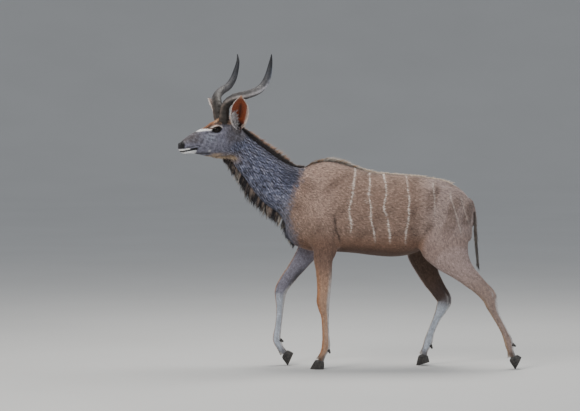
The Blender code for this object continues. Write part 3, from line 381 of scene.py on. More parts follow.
def lid_height(side, forward, height, tree):
    """How far out the eyeball and the skin reach at a place beside the eye."""
    away = head_way(0, side, 0)
    reach = EYE_RADIUS ** 2 - (forward - EYE_PLACE[0]) ** 2 - (height - EYE_PLACE[2]) ** 2
    ball_reach = EYE_PLACE[1] + math.sqrt(reach) if reach > 0 else 0.0
    hit = tree.ray_cast(head_point(forward, side * 0.12, height), -away)[3]
    skin_reach = 0.12 - hit if hit is not None else 0.0
    return ball_reach, skin_reach


def eye_opening(turn, scale):
    """A place on the almond-shaped opening of an eye, forward and up from its middle."""
    along = scale * EYE_OPENING[0] * math.cos(turn)
    above = scale * EYE_OPENING[1] * math.sin(turn) * abs(math.sin(turn)) ** 0.25 - 0.12 * along
    return EYE_PLACE[0] + along, EYE_PLACE[2] + above


def lid_rings(side, tree):
    """Upper and lower lid as one almond-shaped rim that rises from the skin to the eyeball."""
    rings = []
    for index in range(72):
        turn = 2 * math.pi * index / 72
        heavy = 0.5 + 0.5 * math.sin(turn)
        f, h = eye_opening(turn, 1.0)
        ball_reach, skin_reach = lid_height(side, f, h, tree)
        rim = max(ball_reach + 0.0008, skin_reach + 0.0004)
        ring = []
        for scale, lift, follow in (
                (0.95, -0.0040, 0), (0.95, 0.0006, 0), (1.03, 0.0018, 0),
                (1.16 + 0.06 * heavy, 0.0016, 0.5), (1.34 + 0.10 * heavy, 0.0010, 1),
                (1.62, -0.0012, 1), (1.62, -0.0050, 1), (1.30, -0.0080, 0.5)):
            f, h = eye_opening(turn, scale)
            over_skin = lid_height(side, f, h, tree)[1]
            reach = rim * (1 - follow) + over_skin * follow + lift
            ring.append(head_point(f, side * reach, h))
        rings.append(ring)
    return rings


def eye_slit(side):
    """The opening between the lids, as a cutter that stays within their rim."""
    rings = []
    for reach in (0.030, 0.110):
        ring = []
        for index in range(48):
            f, h = eye_opening(2 * math.pi * index / 48, 0.97)
            ring.append(head_point(f, side * reach, h))
        rings.append(ring)
    return loft("slit", rings)


def ear_frame(side):
    """Root, axis, way across, opening and length of one ear."""
    root = head_point(EAR_ROOT[0], side * EAR_ROOT[1], EAR_ROOT[2])
    forward, outward, height = EAR_TIPS[side]
    axis = head_point(forward, side * outward, height) - root
    length = axis.length
    axis.normalize()
    opening = head_way(EAR_OPENING[0], side * EAR_OPENING[1], 0)
    opening = (opening - axis * opening.dot(axis)).normalized()
    return root, axis, axis.cross(opening).normalized(), opening, length


def ear_half(t):
    """Half the width of an ear at shares of its length."""
    up = np.clip(t, 0, 1)
    width = 0.34 + 0.66 * np.sin(math.pi * np.minimum(up * 0.86 + 0.06, 1))
    narrow = np.maximum(0.03, (1 - up ** 6) ** 0.8) * (0.72 + 0.28 * edge(t, -0.04, 0.16))
    return EAR_WIDTH / 2 * width * narrow


def ear_place(side, t, column):
    """A place on the middle of an ear's wall: t from root to tip, column from -1 to 1 round it."""
    root, axis, across, opening, length = ear_frame(side)
    up = max(t, 0.0)
    half_width = float(ear_half(t))
    wrap = math.radians(128 - 78 * min(1.0, up * 1.5) + 40 * float(edge(t, 0.14, -0.02)))
    radius = half_width / math.sin(min(wrap, math.pi / 2))
    angle = wrap * column
    back = radius * (1 - math.cos(angle)) - radius * (1 - math.cos(min(wrap, 2.3))) * 0.5
    return (root + axis * (length * 0.985 * t) + across * (radius * math.sin(angle))
            + opening * (back - 0.012 * math.sin(math.pi * up)))


def ear_cup(side):
    """One ear as a rolled leaf with a wall, before it is joined to the head."""
    rows, columns = 50, 30
    points, faces = [], []
    for row in range(rows + 1):
        for column in range(columns + 1):
            points.append(ear_place(side, -0.10 + 1.10 * row / rows, 2 * column / columns - 1))
    for row in range(rows):
        for column in range(columns):
            here = row * (columns + 1) + column
            faces.append((here, here + 1, here + columns + 2, here + columns + 1))
    mesh = bpy.data.meshes.new("ear")
    mesh.from_pydata([tuple(point) for point in points], [], faces)
    ear = bpy.data.objects.new("ear", mesh)
    bpy.context.scene.collection.objects.link(ear)
    apply_modifier(ear, "SOLIDIFY", thickness=EAR_WALL, offset=0.0)
    face_outwards(ear)
    return ear


skull_shapes = [loft("skull", head_rings(40, 5))]
for forward, outward, height, long, wide, high, slope in HEAD_SWELLINGS:
    for side in (-1, 1):
        skull_shapes.append(ball(head_point(forward, side * outward, height), (long, wide, high),
                                 slope, HEAD_YAW))
skull_shapes.append(ball(head_point(0.351, 0, 1.324), (0.026, 0.025, 0.011), 0, HEAD_YAW))
skull_shapes.append(ball(head_point(0.255, 0, 1.446), (0.060, 0.018, 0.010), -25, HEAD_YAW))

# One skin from nose to hooves
# Body and skull are melted each by itself, the body softly and the skull crisply. Then they are
# melted into one surface with the lower legs and the dock, so that it has no seam.
flesh.append(loft("skull", head_rings(40, 5)))
whole = [melt("body", flesh, BODY_VOXEL, 52, MELT_TRIANGLES),
         melt("skull", skull_shapes, SKULL_VOXEL, 20, MELT_TRIANGLES)]
for name, rows in LIMBS.items():
    whole.append(loft("lower_leg", limb_rings(rows[LOWER_LEG_ROW[name] - 2:], 36, 6)))
whole.append(loft("dock", tail_rings(16)))
for side in (-1, 1):
    root, axis, across, opening, length = ear_frame(side)
    whole.append(ball(root - opening * 0.013 - axis * 0.006, (0.017, 0.017, 0.017)))
skin = melt("skin", whole, skin_voxel, 3, SKIN_TRIANGLES)

# The lie of the coat and the places on the body
# Hair lies from the nose back over the head, down the neck, back along the trunk and down each
# leg. Each part has a line through its middle, and a place on the hide belongs most to the line
# it is nearest to, so that one part's hair passes smoothly into the next one's.
LINES = {
    "head": [(*head_point(0.40, 0, 1.350), 0.025), (*head_point(0.30, 0, 1.370), 0.045),
             (*head_point(0.17, 0, 1.400), 0.062), (*head_point(0.02, 0, 1.415), 0.065)],
    "neck": [((a + c) / 2, y, (b + d) / 2, 0.5 * (w + math.hypot(a - c, b - d) / 2))
             for a, b, c, d, w, y in NECK],
    "trunk": [(-0.330, 0, 0.960, 0.16), (-0.150, 0, 0.970, 0.23), (0.150, 0, 0.940, 0.24),
              (0.450, 0, 0.960, 0.22), (0.640, 0, 0.970, 0.17), (0.760, 0, 0.940, 0.09)],
    "tail": [(x, 0, z, 0.9 * radius) for x, z, radius in TAIL[1:]],
}
for name, rows in LIMBS.items():
    LINES[name] = [(x, y, z, (front + rear + 2 * half) / 4)
                   for x, z, front, rear, half, y in rows[1:]]
PART_NAMES = list(LINES)


def ripple(points, size, seed):
    """A smooth random value, mostly from -1 to 1, that changes over size metres."""
    draw = np.random.default_rng(seed)
    total = np.zeros(len(points))
    for _ in range(10):
        way = draw.normal(size=3)
        way *= 2 * math.pi / (size * np.linalg.norm(way)) * draw.uniform(0.6, 1.6)
        total += np.sin(points @ way + draw.uniform(0, 2 * math.pi))
    return total / 3.2


def along_line(points, line):
    """For each point: distance as a share of the line's girth, place, direction and offset."""
    line = np.array(line)
    best = np.full(len(points), 1e9)
    place = np.zeros(len(points))
    way = np.zeros((len(points), 3))
    offset = np.zeros((len(points), 3))
    for index in range(len(line) - 1):
        start, end = line[index, :3], line[index + 1, :3]
        run = end - start
        t = np.clip((points - start) @ run / (run @ run), 0, 1)
        away = points - start - t[:, None] * run
        girth = line[index, 3] + (line[index + 1, 3] - line[index, 3]) * t
        ratio = np.linalg.norm(away, axis=1) / girth
        near = ratio < best
        best[near], place[near] = ratio[near], index + t[near]
        way[near] = run / np.linalg.norm(run)
        offset[near] = away[near]
    return best, place, way, offset


def survey(points):
    """Everything the coat's lie, length and markings need to know about places on the hide."""
    facts = {"points": points}
    away = points - np.array(HEAD_PIVOT)
    sine, cosine = math.sin(HEAD_YAW), math.cos(HEAD_YAW)
    facts["forward"] = -cosine * away[:, 0] - sine * away[:, 1]
    facts["left"] = sine * away[:, 0] - cosine * away[:, 1]
    facts["height"] = points[:, 2] - HEAD_RISE
    total = np.zeros(len(points))
    lie = np.zeros((len(points), 3))
    for name in PART_NAMES:
        ratio, place, way, offset = along_line(points, LINES[name])
        weight = 1 / np.maximum(ratio, 0.3) ** (7 if name in LIMBS else 5)
        if name == "trunk":
            way = way * 0.95 + np.array((0.0, 0.0, -0.28))
        elif name == "neck":
            way = way + np.array((0.10, 0.0, -0.30))
        facts[name] = weight
        facts[name + "_place"], facts[name + "_offset"] = place, offset
        total += weight
        lie += way * weight[:, None]
    for name in PART_NAMES:
        facts[name] = facts[name] / total
    ears = np.zeros(len(points))
    for key in ("ear_along", "ear_across", "ear_side"):
        facts[key] = np.zeros(len(points))
    for side in (-1, 1):
        root, axis, across, _, length = (np.array(v) for v in ear_frame(side))
        t = (points - root) @ axis / length
        from_axis = points - root - np.outer(t * length, axis)
        reach = 0.036 + 0.046 * edge(t, 0.05, 0.35)
        inside = edge(t, -0.03, 0.03) * (np.linalg.norm(from_axis, axis=1) < reach) * (t < 1.1)
        chosen = inside > ears
        ears = np.maximum(ears, inside)
        facts["ear_along"][chosen] = t[chosen]
        ahead = np.sign(across @ np.array(head_way(1, 0, 0)))
        facts["ear_across"][chosen] = (ahead * (from_axis @ across) / ear_half(t))[chosen]
        facts["ear_side"][chosen] = side
        lie = lie * (1 - inside)[:, None] + axis * (inside * total)[:, None]
    facts["ear"] = ears
    facts["lie"] = lie
    return facts


def vertex_arrays(mesh):
    """Places and normals of a mesh's vertices."""
    points = np.empty(len(mesh.vertices) * 3)
    mesh.vertices.foreach_get("co", points)
    normals = np.empty(len(mesh.vertices) * 3)
    mesh.vertex_normals.foreach_get("vector", normals)
    return points.reshape(-1, 3), normals.reshape(-1, 3)


# Hollows, tendons and the depth of the coat
# Between the big forms lie hollows: behind the shoulder, before the hip, along the tendons. The
# hide then sits inside the solids by the depth of its hair, least on the face and the feet.
select_only(skin)


def soften(shape, share, iterations):
    """Smooth a surface only where share is above nothing."""
    group = shape.vertex_groups.new(name="soft")
    for level in range(1, 11):
        chosen = np.nonzero(np.round(np.clip(share, 0, 1) * 10) == level)[0]
        group.add(chosen.tolist(), level / 10, "REPLACE")
    apply_modifier(shape, "SMOOTH", factor=0.5, iterations=iterations, vertex_group="soft")
    shape.vertex_groups.clear()


def blot(a, b, spot_a, spot_b, reach_a, reach_b):
    """A share that is 1 at a spot and falls off over its reach in two directions."""
    return np.exp(-((a - spot_a) / reach_a) ** 2 - ((b - spot_b) / reach_b) ** 2)


facts = survey(vertex_arrays(skin.data)[0])
joins = 4 * facts["head"] * facts["neck"] * (facts["ear"] < 0.1)
for side in (-1, 1):
    off_root = np.linalg.norm(facts["points"] - np.array(ear_frame(side)[0]), axis=1)
    joins += edge(off_root, 0.050, 0.030)
for name in LIMBS:
    from_join = facts[name + "_place"] - (LOWER_LEG_ROW[name] - 3 + 0.4)
    joins += edge(np.abs(from_join), 0.9, 0.3) * edge(facts[name], 0.3, 0.6)
joins += edge(facts["tail"], 0.2, 0.4) * edge(facts["tail_place"], 1.2, 0.4)
soften(skin, joins, 60)
points, normals = vertex_arrays(skin.data)
facts = survey(points)
limbs = sum(facts[name] for name in LIMBS)
head_share = np.maximum(facts["head"], facts["ear"])
move = np.zeros(len(points))
sideways = edge(np.abs(normals[:, 1]), 0.25, 0.8)
for x, z, reach_x, reach_z, amount in FORMS:
    move += amount * blot(points[:, 0], points[:, 2], x, z, reach_x, reach_z) * sideways
ribs = np.sin(2 * math.pi * (points[:, 0] + 0.30 * points[:, 2]) / 0.052)
rib_cage = (edge(points[:, 0], -0.06, 0.02) * edge(points[:, 0], 0.34, 0.22)
            * edge(points[:, 2], 0.74, 0.84) * edge(points[:, 2], 1.10, 1.00))
move += 0.0011 * ribs * rib_cage * sideways
move += 0.0010 * ripple(points, 0.10, 3) * edge(facts["trunk"], 0.4, 0.8)
for name, rows in LIMBS.items():
    knee = 6.5 if name.startswith("fore") else 7.0
    place, offset = facts[name + "_place"], facts[name + "_offset"]
    front = -offset[:, 0]
    cannon = edge(place, knee + 2.0, knee + 3.0) * edge(place, knee + 6.0, knee + 5.2)
    groove = np.exp(-((front + 0.007) / 0.0045) ** 2) * sideways
    move -= 0.0026 * groove * cannon * (facts[name] > 0.5)
    if name.startswith("hind"):
        gaskin = edge(place, 4.6, 5.4) * edge(place, 7.6, 6.8)
        hollow = np.exp(-((front + 0.034) / 0.010) ** 2) * sideways
        move -= 0.0060 * hollow * gaskin * (facts[name] > 0.5)
forward, left, height = facts["forward"], facts["left"], facts["height"]
flank = np.abs(left)
face = (facts["ear"] < 0.2) & (forward > 0.0)
for f, w, h, reach, tall, amount in (
        (0.232, 0.045, 1.430, 0.030, 0.010, -0.0035), (0.118, 0.055, 1.458, 0.018, 0.020, -0.0030),
        (0.290, 0.035, 1.395, 0.050, 0.010, -0.0020), (0.205, 0.050, 1.392, 0.020, 0.030, -0.0025),
        (0.286, 0.036, 1.364, 0.014, 0.0035, -0.0022), (0.300, 0.033, 1.357, 0.024, 0.005, 0.0014),
        (0.262, 0.040, 1.350, 0.012, 0.016, -0.0016), (0.240, 0.042, 1.355, 0.008, 0.020, 0.0010),
        (0.355, 0.028, 1.360, 0.020, 0.0035, -0.0014), (0.350, 0.033, 1.388, 0.016, 0.006, -0.0018),
        (0.205, 0.052, 1.4330, 0.030, 0.0040, -0.0014), (0.150, 0.058, 1.415, 0.040, 0.010, 0.0014),
        (0.178, 0.045, 1.318, 0.060, 0.010, -0.0018), (0.215, 0.045, 1.332, 0.040, 0.008, 0.0012)):
    near = blot(forward, height, f, h, reach, tall) * np.exp(-((flank - w) / 0.03) ** 2)
    move += amount * near * face
depth = 0.0050 * (1 - limbs) * (1 - head_share) + 0.0028 * limbs + 0.0012 * head_share
depth = depth * (1 - facts["tail"]) + 0.0006 * facts["tail"]
points += normals * (move - depth)[:, None]
skin.data.vertices.foreach_set("co", points.ravel())
skin.data.update()

# Lids, ears, nostrils and the line between the lips
# The lids are a firm rim round the eyeball, and an ear is a rolled leaf of skin and gristle. They
# are joined to the finished surface, and the openings are cut into it, so that edges stay fine.
MOUTH_LINE = [(0.285, 1.3475), (0.330, 1.3415), (0.368, 1.3350), (0.4005, 1.3315)]


def join_or_cut(shape, other, operation):
    """Join one closed shape to another, or cut it out."""
    apply_modifier(shape, "BOOLEAN", object=other, operation=operation, solver="MANIFOLD")
    bpy.data.objects.remove(other)


def mouth_band():
    """A thin band round the muzzle, the cutter of the line between the lips."""
    heights = np.array(MOUTH_LINE)
    outline = [(f, w) for f, _, _, w in smooth_rows(HEAD, 5) if f > MOUTH_LINE[0][0]]
    path = outline + [(0.4000, 0.0)] + [(f, -w) for f, w in outline[::-1]]
    rings = []
    for forward, left in path:
        height = float(np.interp(forward, heights[:, 0], heights[:, 1]))
        gape = 0.0022 * (1 + 0.8 * math.sin(math.pi * min(1, (forward - 0.285) / 0.05)))
        inner, deep = left * 0.80, forward - (0.0 if left else 0.014)
        reach = forward + (0.012 if forward > 0.39 else 0.0)
        inside = head_point(deep, inner, height)
        outside = head_point(reach, left * 1.4, height)
        up = Vector((0, 0, gape / 2))
        rings.append([inside + up * 0.4, outside + up, outside - up, inside - up * 0.4])
    return loft("mouth", rings)


for side in (-1, 1):
    eye_middle = head_point(EYE_PLACE[0], side * EYE_PLACE[1], EYE_PLACE[2])
    tree = BVHTree.FromObject(skin, bpy.context.evaluated_depsgraph_get())
    lids = loft("lids", lid_rings(side, tree), closed=True)
    join_or_cut(skin, eye_slit(side), "DIFFERENCE")
    join_or_cut(skin, lids, "UNION")
    join_or_cut(skin, ball(eye_middle, (EYE_RADIUS + 0.0004,) * 3), "DIFFERENCE")
    nostril = ball(head_point(0.3905, side * 0.0225, 1.3715), (0.015, 0.0050, 0.0068), -32,
                   HEAD_YAW + side * math.radians(26))
    join_or_cut(skin, nostril, "DIFFERENCE")
    join_or_cut(skin, ear_cup(side), "UNION")
join_or_cut(skin, mouth_band(), "DIFFERENCE")
apply_modifier(skin, "TRIANGULATE")
bpy.ops.object.shade_smooth()

# Markings of skin and coat
# Grey-brown flanks with narrow white stripes, a slate-blue neck, tan shins and a rust-brown brow
# with a white bar between the eyes. Skin and hair take their colours from the same rules.
BODY_EDGE = [(0.74, -0.322), (0.78, -0.332), (0.85, -0.352), (0.95, -0.374), (1.027, -0.368),
             (1.091, -0.345), (1.152, -0.310), (1.232, -0.284), (1.28, -0.270)]
# Each stripe: strength, half width, then its places X, Z from the back down
STRIPES = [
    (0.95, 0.0034, (0.022, 1.215), (0.006, 1.063), (-0.006, 0.973), (-0.002, 0.839)),
    (1.0, 0.0034, (0.120, 1.205), (0.110, 1.077), (0.117, 0.973), (0.129, 0.894), (0.151, 0.788)),
    (1.0, 0.0036, (0.205, 1.205), (0.208, 1.077), (0.205, 0.974), (0.233, 0.845), (0.237, 0.781)),
    (1.0, 0.0034, (0.343, 1.195), (0.356, 1.034), (0.346, 0.900), (0.337, 0.775)),
    (0.45, 0.0030, (0.604, 1.075), (0.680, 0.805)), (0.4, 0.0030, (0.500, 1.130), (0.515, 0.930)),
    (0.35, 0.0028, (0.672, 1.040), (0.722, 0.880)),
]
# Dark spots on the side of the face: forward, height
FACE_SPOTS = [(0.211, 1.421), (0.196, 1.403), (0.255, 1.395), (0.261, 1.378), (0.236, 1.409)]


def seen(red, green, blue):
    """A coat colour from its 0 to 255 values, made linear for the shader."""
    value = np.array((red, green, blue)) / 255
    return np.where(value < 0.04045, value / 12.92, ((value + 0.055) / 1.055) ** 2.4)


def lay(colours, over, share):
    """Lay one colour over others by a share from 0 to 1."""
    share = np.clip(share, 0, 1)[:, None]
    return colours * (1 - share) + over * share


def paint(colours, *coats):
    """Lay coat after coat, each its red, green and blue from 0 to 255 and its share."""
    for red, green, blue, share in coats:
        colours = lay(colours, seen(red, green, blue), share)
    return colours


def bell(value, middle, reach):
    """A share that is 1 at the middle and falls off over reach."""
    return np.exp(-((value - middle) / reach) ** 2)


def body_colours(facts, normals):
    """Trunk and neck: slate in front, grey-brown behind, with stripes and a pale ridge."""
    points = facts["points"]
    x, y, z = points.T
    broad, small = ripple(points, 0.16, 41), ripple(points, 0.035, 42)
    run = np.column_stack((x * 0.22, y, z))
    grizzle = ripple(run, 0.0085, 46)
    colours = np.tile(seen(132, 108, 95), (len(points), 1))
    colours = paint(colours,
        # Painted highlight: a paler patch over the shoulder
        (160, 134, 121, bell(x, -0.20, 0.15) * edge(z, 0.80, 1.00)),
        (158, 140, 134, 0.9 * edge(x, 0.36, 0.56) * edge(z, 0.72, 0.86)),
        (128, 112, 108, 0.7 * edge(x, 0.42, 0.60) * edge(z, 1.02, 1.12)),
        (92, 72, 62, 0.55 * edge(broad, -0.1, 1.0)),
        (160, 138, 124, 0.20 * edge(small, 0.2, 1.2)),
        (80, 62, 55, 0.45 * edge(grizzle, 0.0, 1.0)),
        (172, 150, 136, 0.25 * edge(-grizzle, 0.1, 1.2)),
        (122, 90, 72, 0.75 * edge(z, 0.86, 0.75) * (1 - 0.7 * edge(x, 0.40, 0.52))))
    # Painted shade: darker where the hide of the hind flank and thighs faces inwards, low down
    inner_thigh_shade = edge(-normals[:, 1] * np.sign(y), 0.05, 0.5) * edge(z, 0.88, 0.80)
    # Darker where the hide faces down under the belly: partly its own dark line, partly painted
    # shade
    under = edge(-normals[:, 2], 0.66, 0.92) * edge(z, 0.84, 0.78)
    # Painted shadow in the crease behind the shoulder, above the elbow
    crease_shade = bell(x, np.interp(z, (0.78, 0.86, 0.94), (-0.062, -0.088, -0.100)), 0.0085)
    colours = paint(colours,
        (84, 64, 54, 0.85 * inner_thigh_shade * edge(x, 0.25, 0.32)),
        (72, 54, 45, 0.75 * under * edge(x, -0.12, -0.06)),
        (58, 45, 40, 0.85 * crease_shade * edge(z, 0.76, 0.80) * edge(z, 0.965, 0.92)))
    border = np.interp(z, *zip(*BODY_EDGE)) + 0.012 * small + 0.006 * grizzle
    neck = edge(x, border + 0.040, border - 0.034)
    down_neck = np.column_stack((x * 0.78 + z * 0.62, y, 0.45 * (x * 0.62 - z * 0.78)))
    speckle = ripple(down_neck, 0.011, 43)
    patch = ripple(points, 0.050, 47)
    slate = np.tile(seen(98, 102, 124), (len(points), 1))
    slate = paint(slate,
        (62, 56, 62, 0.7 * edge(x * 0.62 + z * 0.78, 0.672, 0.735)),
        (108, 106, 118, 0.6 * edge(patch, 0.2, 1.2)),
        (32, 32, 42, 0.9 * edge(speckle, -0.1, 0.8)),
        (156, 158, 176, 0.70 * edge(-speckle, 0.4, 1.2)),
        (44, 46, 62, 0.75 * blot(x, z, -0.36, 1.185, 0.085, 0.075)),
        (112, 108, 112, 0.45 * edge(z, 1.12, 0.98) * edge(x, -0.46, -0.38)),
        (50, 52, 70, edge(np.abs(y + 0.004), 0.060, 0.020) * edge(-normals[:, 0], 0.35, 0.7)
         * edge(z, 1.14, 1.02)))
    throat = blot(x, z, -0.738, 1.290, 0.055, 0.030)
    slate = lay(slate, seen(172, 148, 124), 0.8 * throat * (0.6 + 0.4 * edge(speckle, 0.6, -0.4)))
    colours = lay(colours, slate, neck)
    ridge = edge(normals[:, 2], 0.45, 0.8) * edge(x, -0.32, -0.20) * edge(x, 0.70, 0.60)
    colours = paint(colours,
        (84, 70, 64, 0.8 * ridge * edge(np.abs(y), 0.046, 0.018)),
        (214, 198, 176, 0.9 * ridge * edge(x, -0.10, 0.0)
         * edge(np.abs(y + 0.003 * small), 0.0125, 0.0075)))
    for index, (strength, half, *places) in enumerate(STRIPES):
        heights = np.array([place[1] for place in places])[::-1]
        runs = np.array([place[0] for place in places])[::-1]
        wobble = 0.0050 * ripple(points, 0.17, 60 + index) + 0.0010 * grizzle
        away = np.abs(x - np.interp(z, heights, runs) - wobble)
        length = (edge(z, heights[0] - 0.02, heights[0] + 0.04)
                  * edge(z, heights[-1] + 0.03, heights[-1]))
        worn = 1 - 0.40 * edge(ripple(points, 0.030, 80 + index), 0.3, 1.3)
        share = 0.88 * strength * worn * length * edge(away, half + 0.0022, half - 0.0014)
        colours = lay(colours, seen(216, 204, 194), share * edge(np.abs(y), 0.01, 0.03))
    return colours


def leg_colours(facts, normals, name, colours):
    """One leg: brown outside, slate and pale inside, tan in front, dark and pale at the fetlock."""
    place, rows = facts[name + "_place"], LIMBS[name]
    side = 1 if name.endswith("right") else -1
    fore = name.startswith("fore")
    low = LOWER_LEG_ROW[name] - 1
    outer = normals[:, 1] * side
    front = -normals[:, 0]
    inner = edge(-outer, 0.05, 0.65)
    small = ripple(facts["points"], 0.030, 48)
    down = edge(place, 1.5, low - 0.5)
    base = np.tile(seen(126, 100, 87) if fore else seen(164, 143, 137), (len(place), 1))
    shin = seen(178, 143, 119) if fore else seen(140, 120, 110)
    base = lay(base, shin, 0.8 * edge(place, low - 3.0, low - 0.5))
    # The forelegs' slate inner side is their own coat; the dark inner side of the hind legs and
    # their darker inner hock are painted shade
    inner_coat_and_shade = seen(126, 123, 136) if fore else seen(82, 64, 54)
    base = lay(base, inner_coat_and_shade, inner * (edge(place, 0.8, 2.4) if fore else 1.0))
    if not fore:
        base = lay(base, seen(66, 54, 52), 0.8 * inner * bell(place, low - 0.6, 1.0))
    base = lay(base, seen(180, 187, 198), 0.9 * inner * edge(place, low - 0.4, low + 1.2))
    rust = seen(178, 116, 70) if fore else seen(172, 140, 112)
    base = lay(base, rust, 0.75 * edge(front, 0.30, 0.85) * edge(place, low - 3.5, low - 0.5)
               * edge(-inner, -0.9, -0.4))
    above = 2.8 if fore else 0.8
    heel = edge(-front, 0.30, 0.8) * edge(place, low - above, low + 1.2 - above / 2)
    base = lay(base, seen(214, 210, 208), 0.85 * heel)
    if fore:
        rim = edge(front, 0.55, 0.9) * edge(place, low - 0.5, low - 2.0)
        base = paint(base,
            (178, 138, 106, 0.55 * rim * down),
            (90, 69, 60, 0.65 * bell(place, 1.9, 1.1) * edge(outer, -0.2, 0.4)))
        garter = bell(place, low - 2.0, 0.9) * inner * edge(-front, -0.1, 0.6)
        base = lay(base, seen(56, 50, 52), 0.75 * garter)
    foot = len(rows) - 3.5
    base = paint(base,
        (64, 52, 46, 0.7 * edge(place, foot, foot + 1.2)),
        (222, 214, 204, 0.75 * bell(place, foot + 1.6, 0.45) * edge(front, 0.2, 0.7)))
    base = lay(base, base * 0.62, 0.5 * edge(small, 0.1, 1.1))
    share = edge(facts[name], 0.25, 0.75) * edge(place, 0.4, 3.0)
    return colours * (1 - share[:, None]) + base * share[:, None]


def head_colours(facts, normals, colours):
    """The face: blue-grey cheeks, rust brow, white bar, lips and chin, black nose and eye rims."""
    points = facts["points"]
    f, h = facts["forward"], facts["height"]
    flank = np.abs(facts["left"])
    small, fine = ripple(points, 0.020, 45), ripple(points, 0.0075, 49)
    up = h - np.interp(f, *zip(*MOUTH_LINE))
    face = np.tile(seen(117, 116, 131), (len(points), 1))
    face = paint(face,
        (86, 80, 83, edge(h, 1.36, 1.40) * edge(f, 0.22, 0.31)),
        (146, 150, 164, 0.75 * blot(f, h, 0.203, 1.412, 0.036, 0.026)),
        (84, 78, 80, 0.7 * edge(f, 0.13, 0.08) * edge(h, 1.35, 1.40)),
        (62, 58, 64, 0.50 * edge(small, 0.1, 1.1)),
        (146, 147, 158, 0.40 * edge(-small, 0.1, 1.1)),
        (54, 52, 60, 0.50 * edge(fine, 0.2, 1.0)))
    throat = edge(h, 1.326, 1.306) * edge(f, 0.215, 0.170) * edge(f, -0.04, 0.02)
    jaw = bell(h, 1.3165, 0.0065) * edge(f, 0.305, 0.285) * edge(f, 0.185, 0.215)
    brow = edge(h, 1.452, 1.466) * edge(f, 0.290, 0.262) * edge(f, 0.125, 0.175)
    top = np.interp(f, [0.12, 0.179, 0.220, 0.261, 0.30], [1.524, 1.505, 1.478, 1.459, 1.442])
    crown = edge(f, 0.185, 0.145) * edge(h, 1.484, 1.500) * edge(f, 0.02, 0.07)
    face = paint(face,
        (170, 146, 122, 0.85 * throat),
        (40, 37, 42, 0.8 * jaw),
        (150, 100, 68, brow),
        (60, 38, 28, 0.9 * brow * edge(top - h, 0.004, 0.010) * edge(f, 0.170, 0.195)),
        (176, 138, 106, crown),
        (88, 60, 44, bell(f, 0.235, 0.03) * bell(flank, 0.0, 0.014) * edge(h, 1.46, 1.48)),
        (62, 58, 62, 0.95 * blot(f, h, 0.160, 1.4985, 0.030, 0.0115) * edge(flank, 0.015, 0.030)),
        (54, 46, 42, 0.8 * blot(f, h, 0.108, 1.512, 0.042, 0.016) * edge(flank, 0.02, 0.04)))
    bar_height = np.interp(f, [0.190, 0.215, 0.250, 0.292], [1.4565, 1.4585, 1.4570, 1.4510])
    bar_half = np.interp(f, [0.190, 0.215, 0.265, 0.296], [0.0030, 0.0056, 0.0062, 0.0040])
    bar = edge(np.abs(h - bar_height), bar_half + 0.0018, bar_half - 0.0012)
    tear = bell(h, 1.4440 - 0.10 * (f - 0.2), 0.0040) * edge(f, 0.186, 0.196)
    face = paint(face,
        (240, 238, 236, bar * edge(f, 0.186, 0.196) * edge(f, 0.304, 0.294)),
        (34, 30, 34, 0.85 * tear * edge(f, 0.250, 0.222)))
    for spot_f, spot_h in FACE_SPOTS:
        face = lay(face, seen(48, 48, 58), 0.75 * blot(f, h, spot_f, spot_h, 0.0042, 0.0042))
    # Painted shade in the fold above the corner of the mouth
    crease_shade = bell(h, 1.3640 + 0.25 * (f - 0.286), 0.0036)
    # Painted shade: a dark line above the upper lip
    muzzle = bell(up, 0.0165 - 0.05 * (f - 0.33), 0.0042)
    lip = edge(f, 0.328, 0.346) * edge(up, 0.0120, 0.0090) * edge(up, -0.001, 0.001)
    lip_top = 0.62 * (f - 0.322)
    chin = edge(f, 0.286, 0.300) * edge(up, -0.0060, -0.0095) * edge(flank, 0.045, 0.030)
    # The black at the mouth's corner is the lips' own dark rim with painted shade laid on it
    band = edge(up, -0.0100, -0.0070) * edge(up, 0.0015, -0.0005) * edge(f, 0.284, 0.292)
    corner = edge(up, -0.0110, -0.0075) * edge(up, 0.0085, 0.0050)
    corner = corner * edge(f, 0.276, 0.290) * edge(f, 0.345, 0.318)
    face = paint(face,
        # The first coat is a painted highlight, a pale spot on the rear of the jaw
        (218, 218, 222, 0.85 * blot(f, h, 0.211, 1.331, 0.0065, 0.0065)),
        (26, 25, 32, 0.85 * crease_shade * edge(f, 0.264, 0.274) * edge(f, 0.308, 0.296)),
        (44, 40, 44, 0.75 * muzzle * edge(f, 0.300, 0.325) * edge(f, 0.378, 0.366)),
        (236, 234, 232, lip * edge(up, lip_top, lip_top - 0.003)),
        (226, 226, 226, chin),
        (22, 20, 24, np.maximum(band, corner)),
        (20, 19, 22, edge(f, 0.366, 0.376) * edge(up, 0.0115, 0.0145)))
    off_eye = f - EYE_PLACE[0]
    eye = np.hypot(off_eye / EYE_OPENING[0], (h + 0.12 * off_eye - EYE_PLACE[2]) / EYE_OPENING[1])
    by_eye = edge(flank, 0.026, 0.040)
    duct = blot(f, h, 0.197, 1.4548, 0.009, 0.0034)
    face = paint(face,
        (214, 204, 196, 0.85 * bell(eye, 1.50, 0.17) * edge(h, 1.466, 1.474) * by_eye),
        (150, 150, 160, 0.5 * bell(eye, 1.75, 0.22) * edge(h, 1.450, 1.440) * by_eye),
        (16, 14, 16, edge(eye, 1.30, 1.14) * by_eye),
        (20, 17, 19, edge(duct, 0.25, 0.65) * by_eye))
    colours = lay(colours, face, edge(facts["head"], 0.30, 0.62))
    shadow = blot(f + 0.35 * (h - 1.452), h, 0.012, 1.452, 0.011, 0.024)
    streak = bell(f + 0.012 + 0.30 * (h - 1.452), 0, 0.0045) * bell(h, 1.450, 0.028)
    colours = paint(colours,
        (46, 30, 26, 0.9 * shadow * edge(flank, 0.03, 0.05)),
        (186, 184, 192, 0.7 * streak * edge(flank, 0.03, 0.05)))
    ear = ear_colours(facts, normals, small, fine)
    return lay(colours, ear, edge(facts["ear"], 0.3, 0.8))


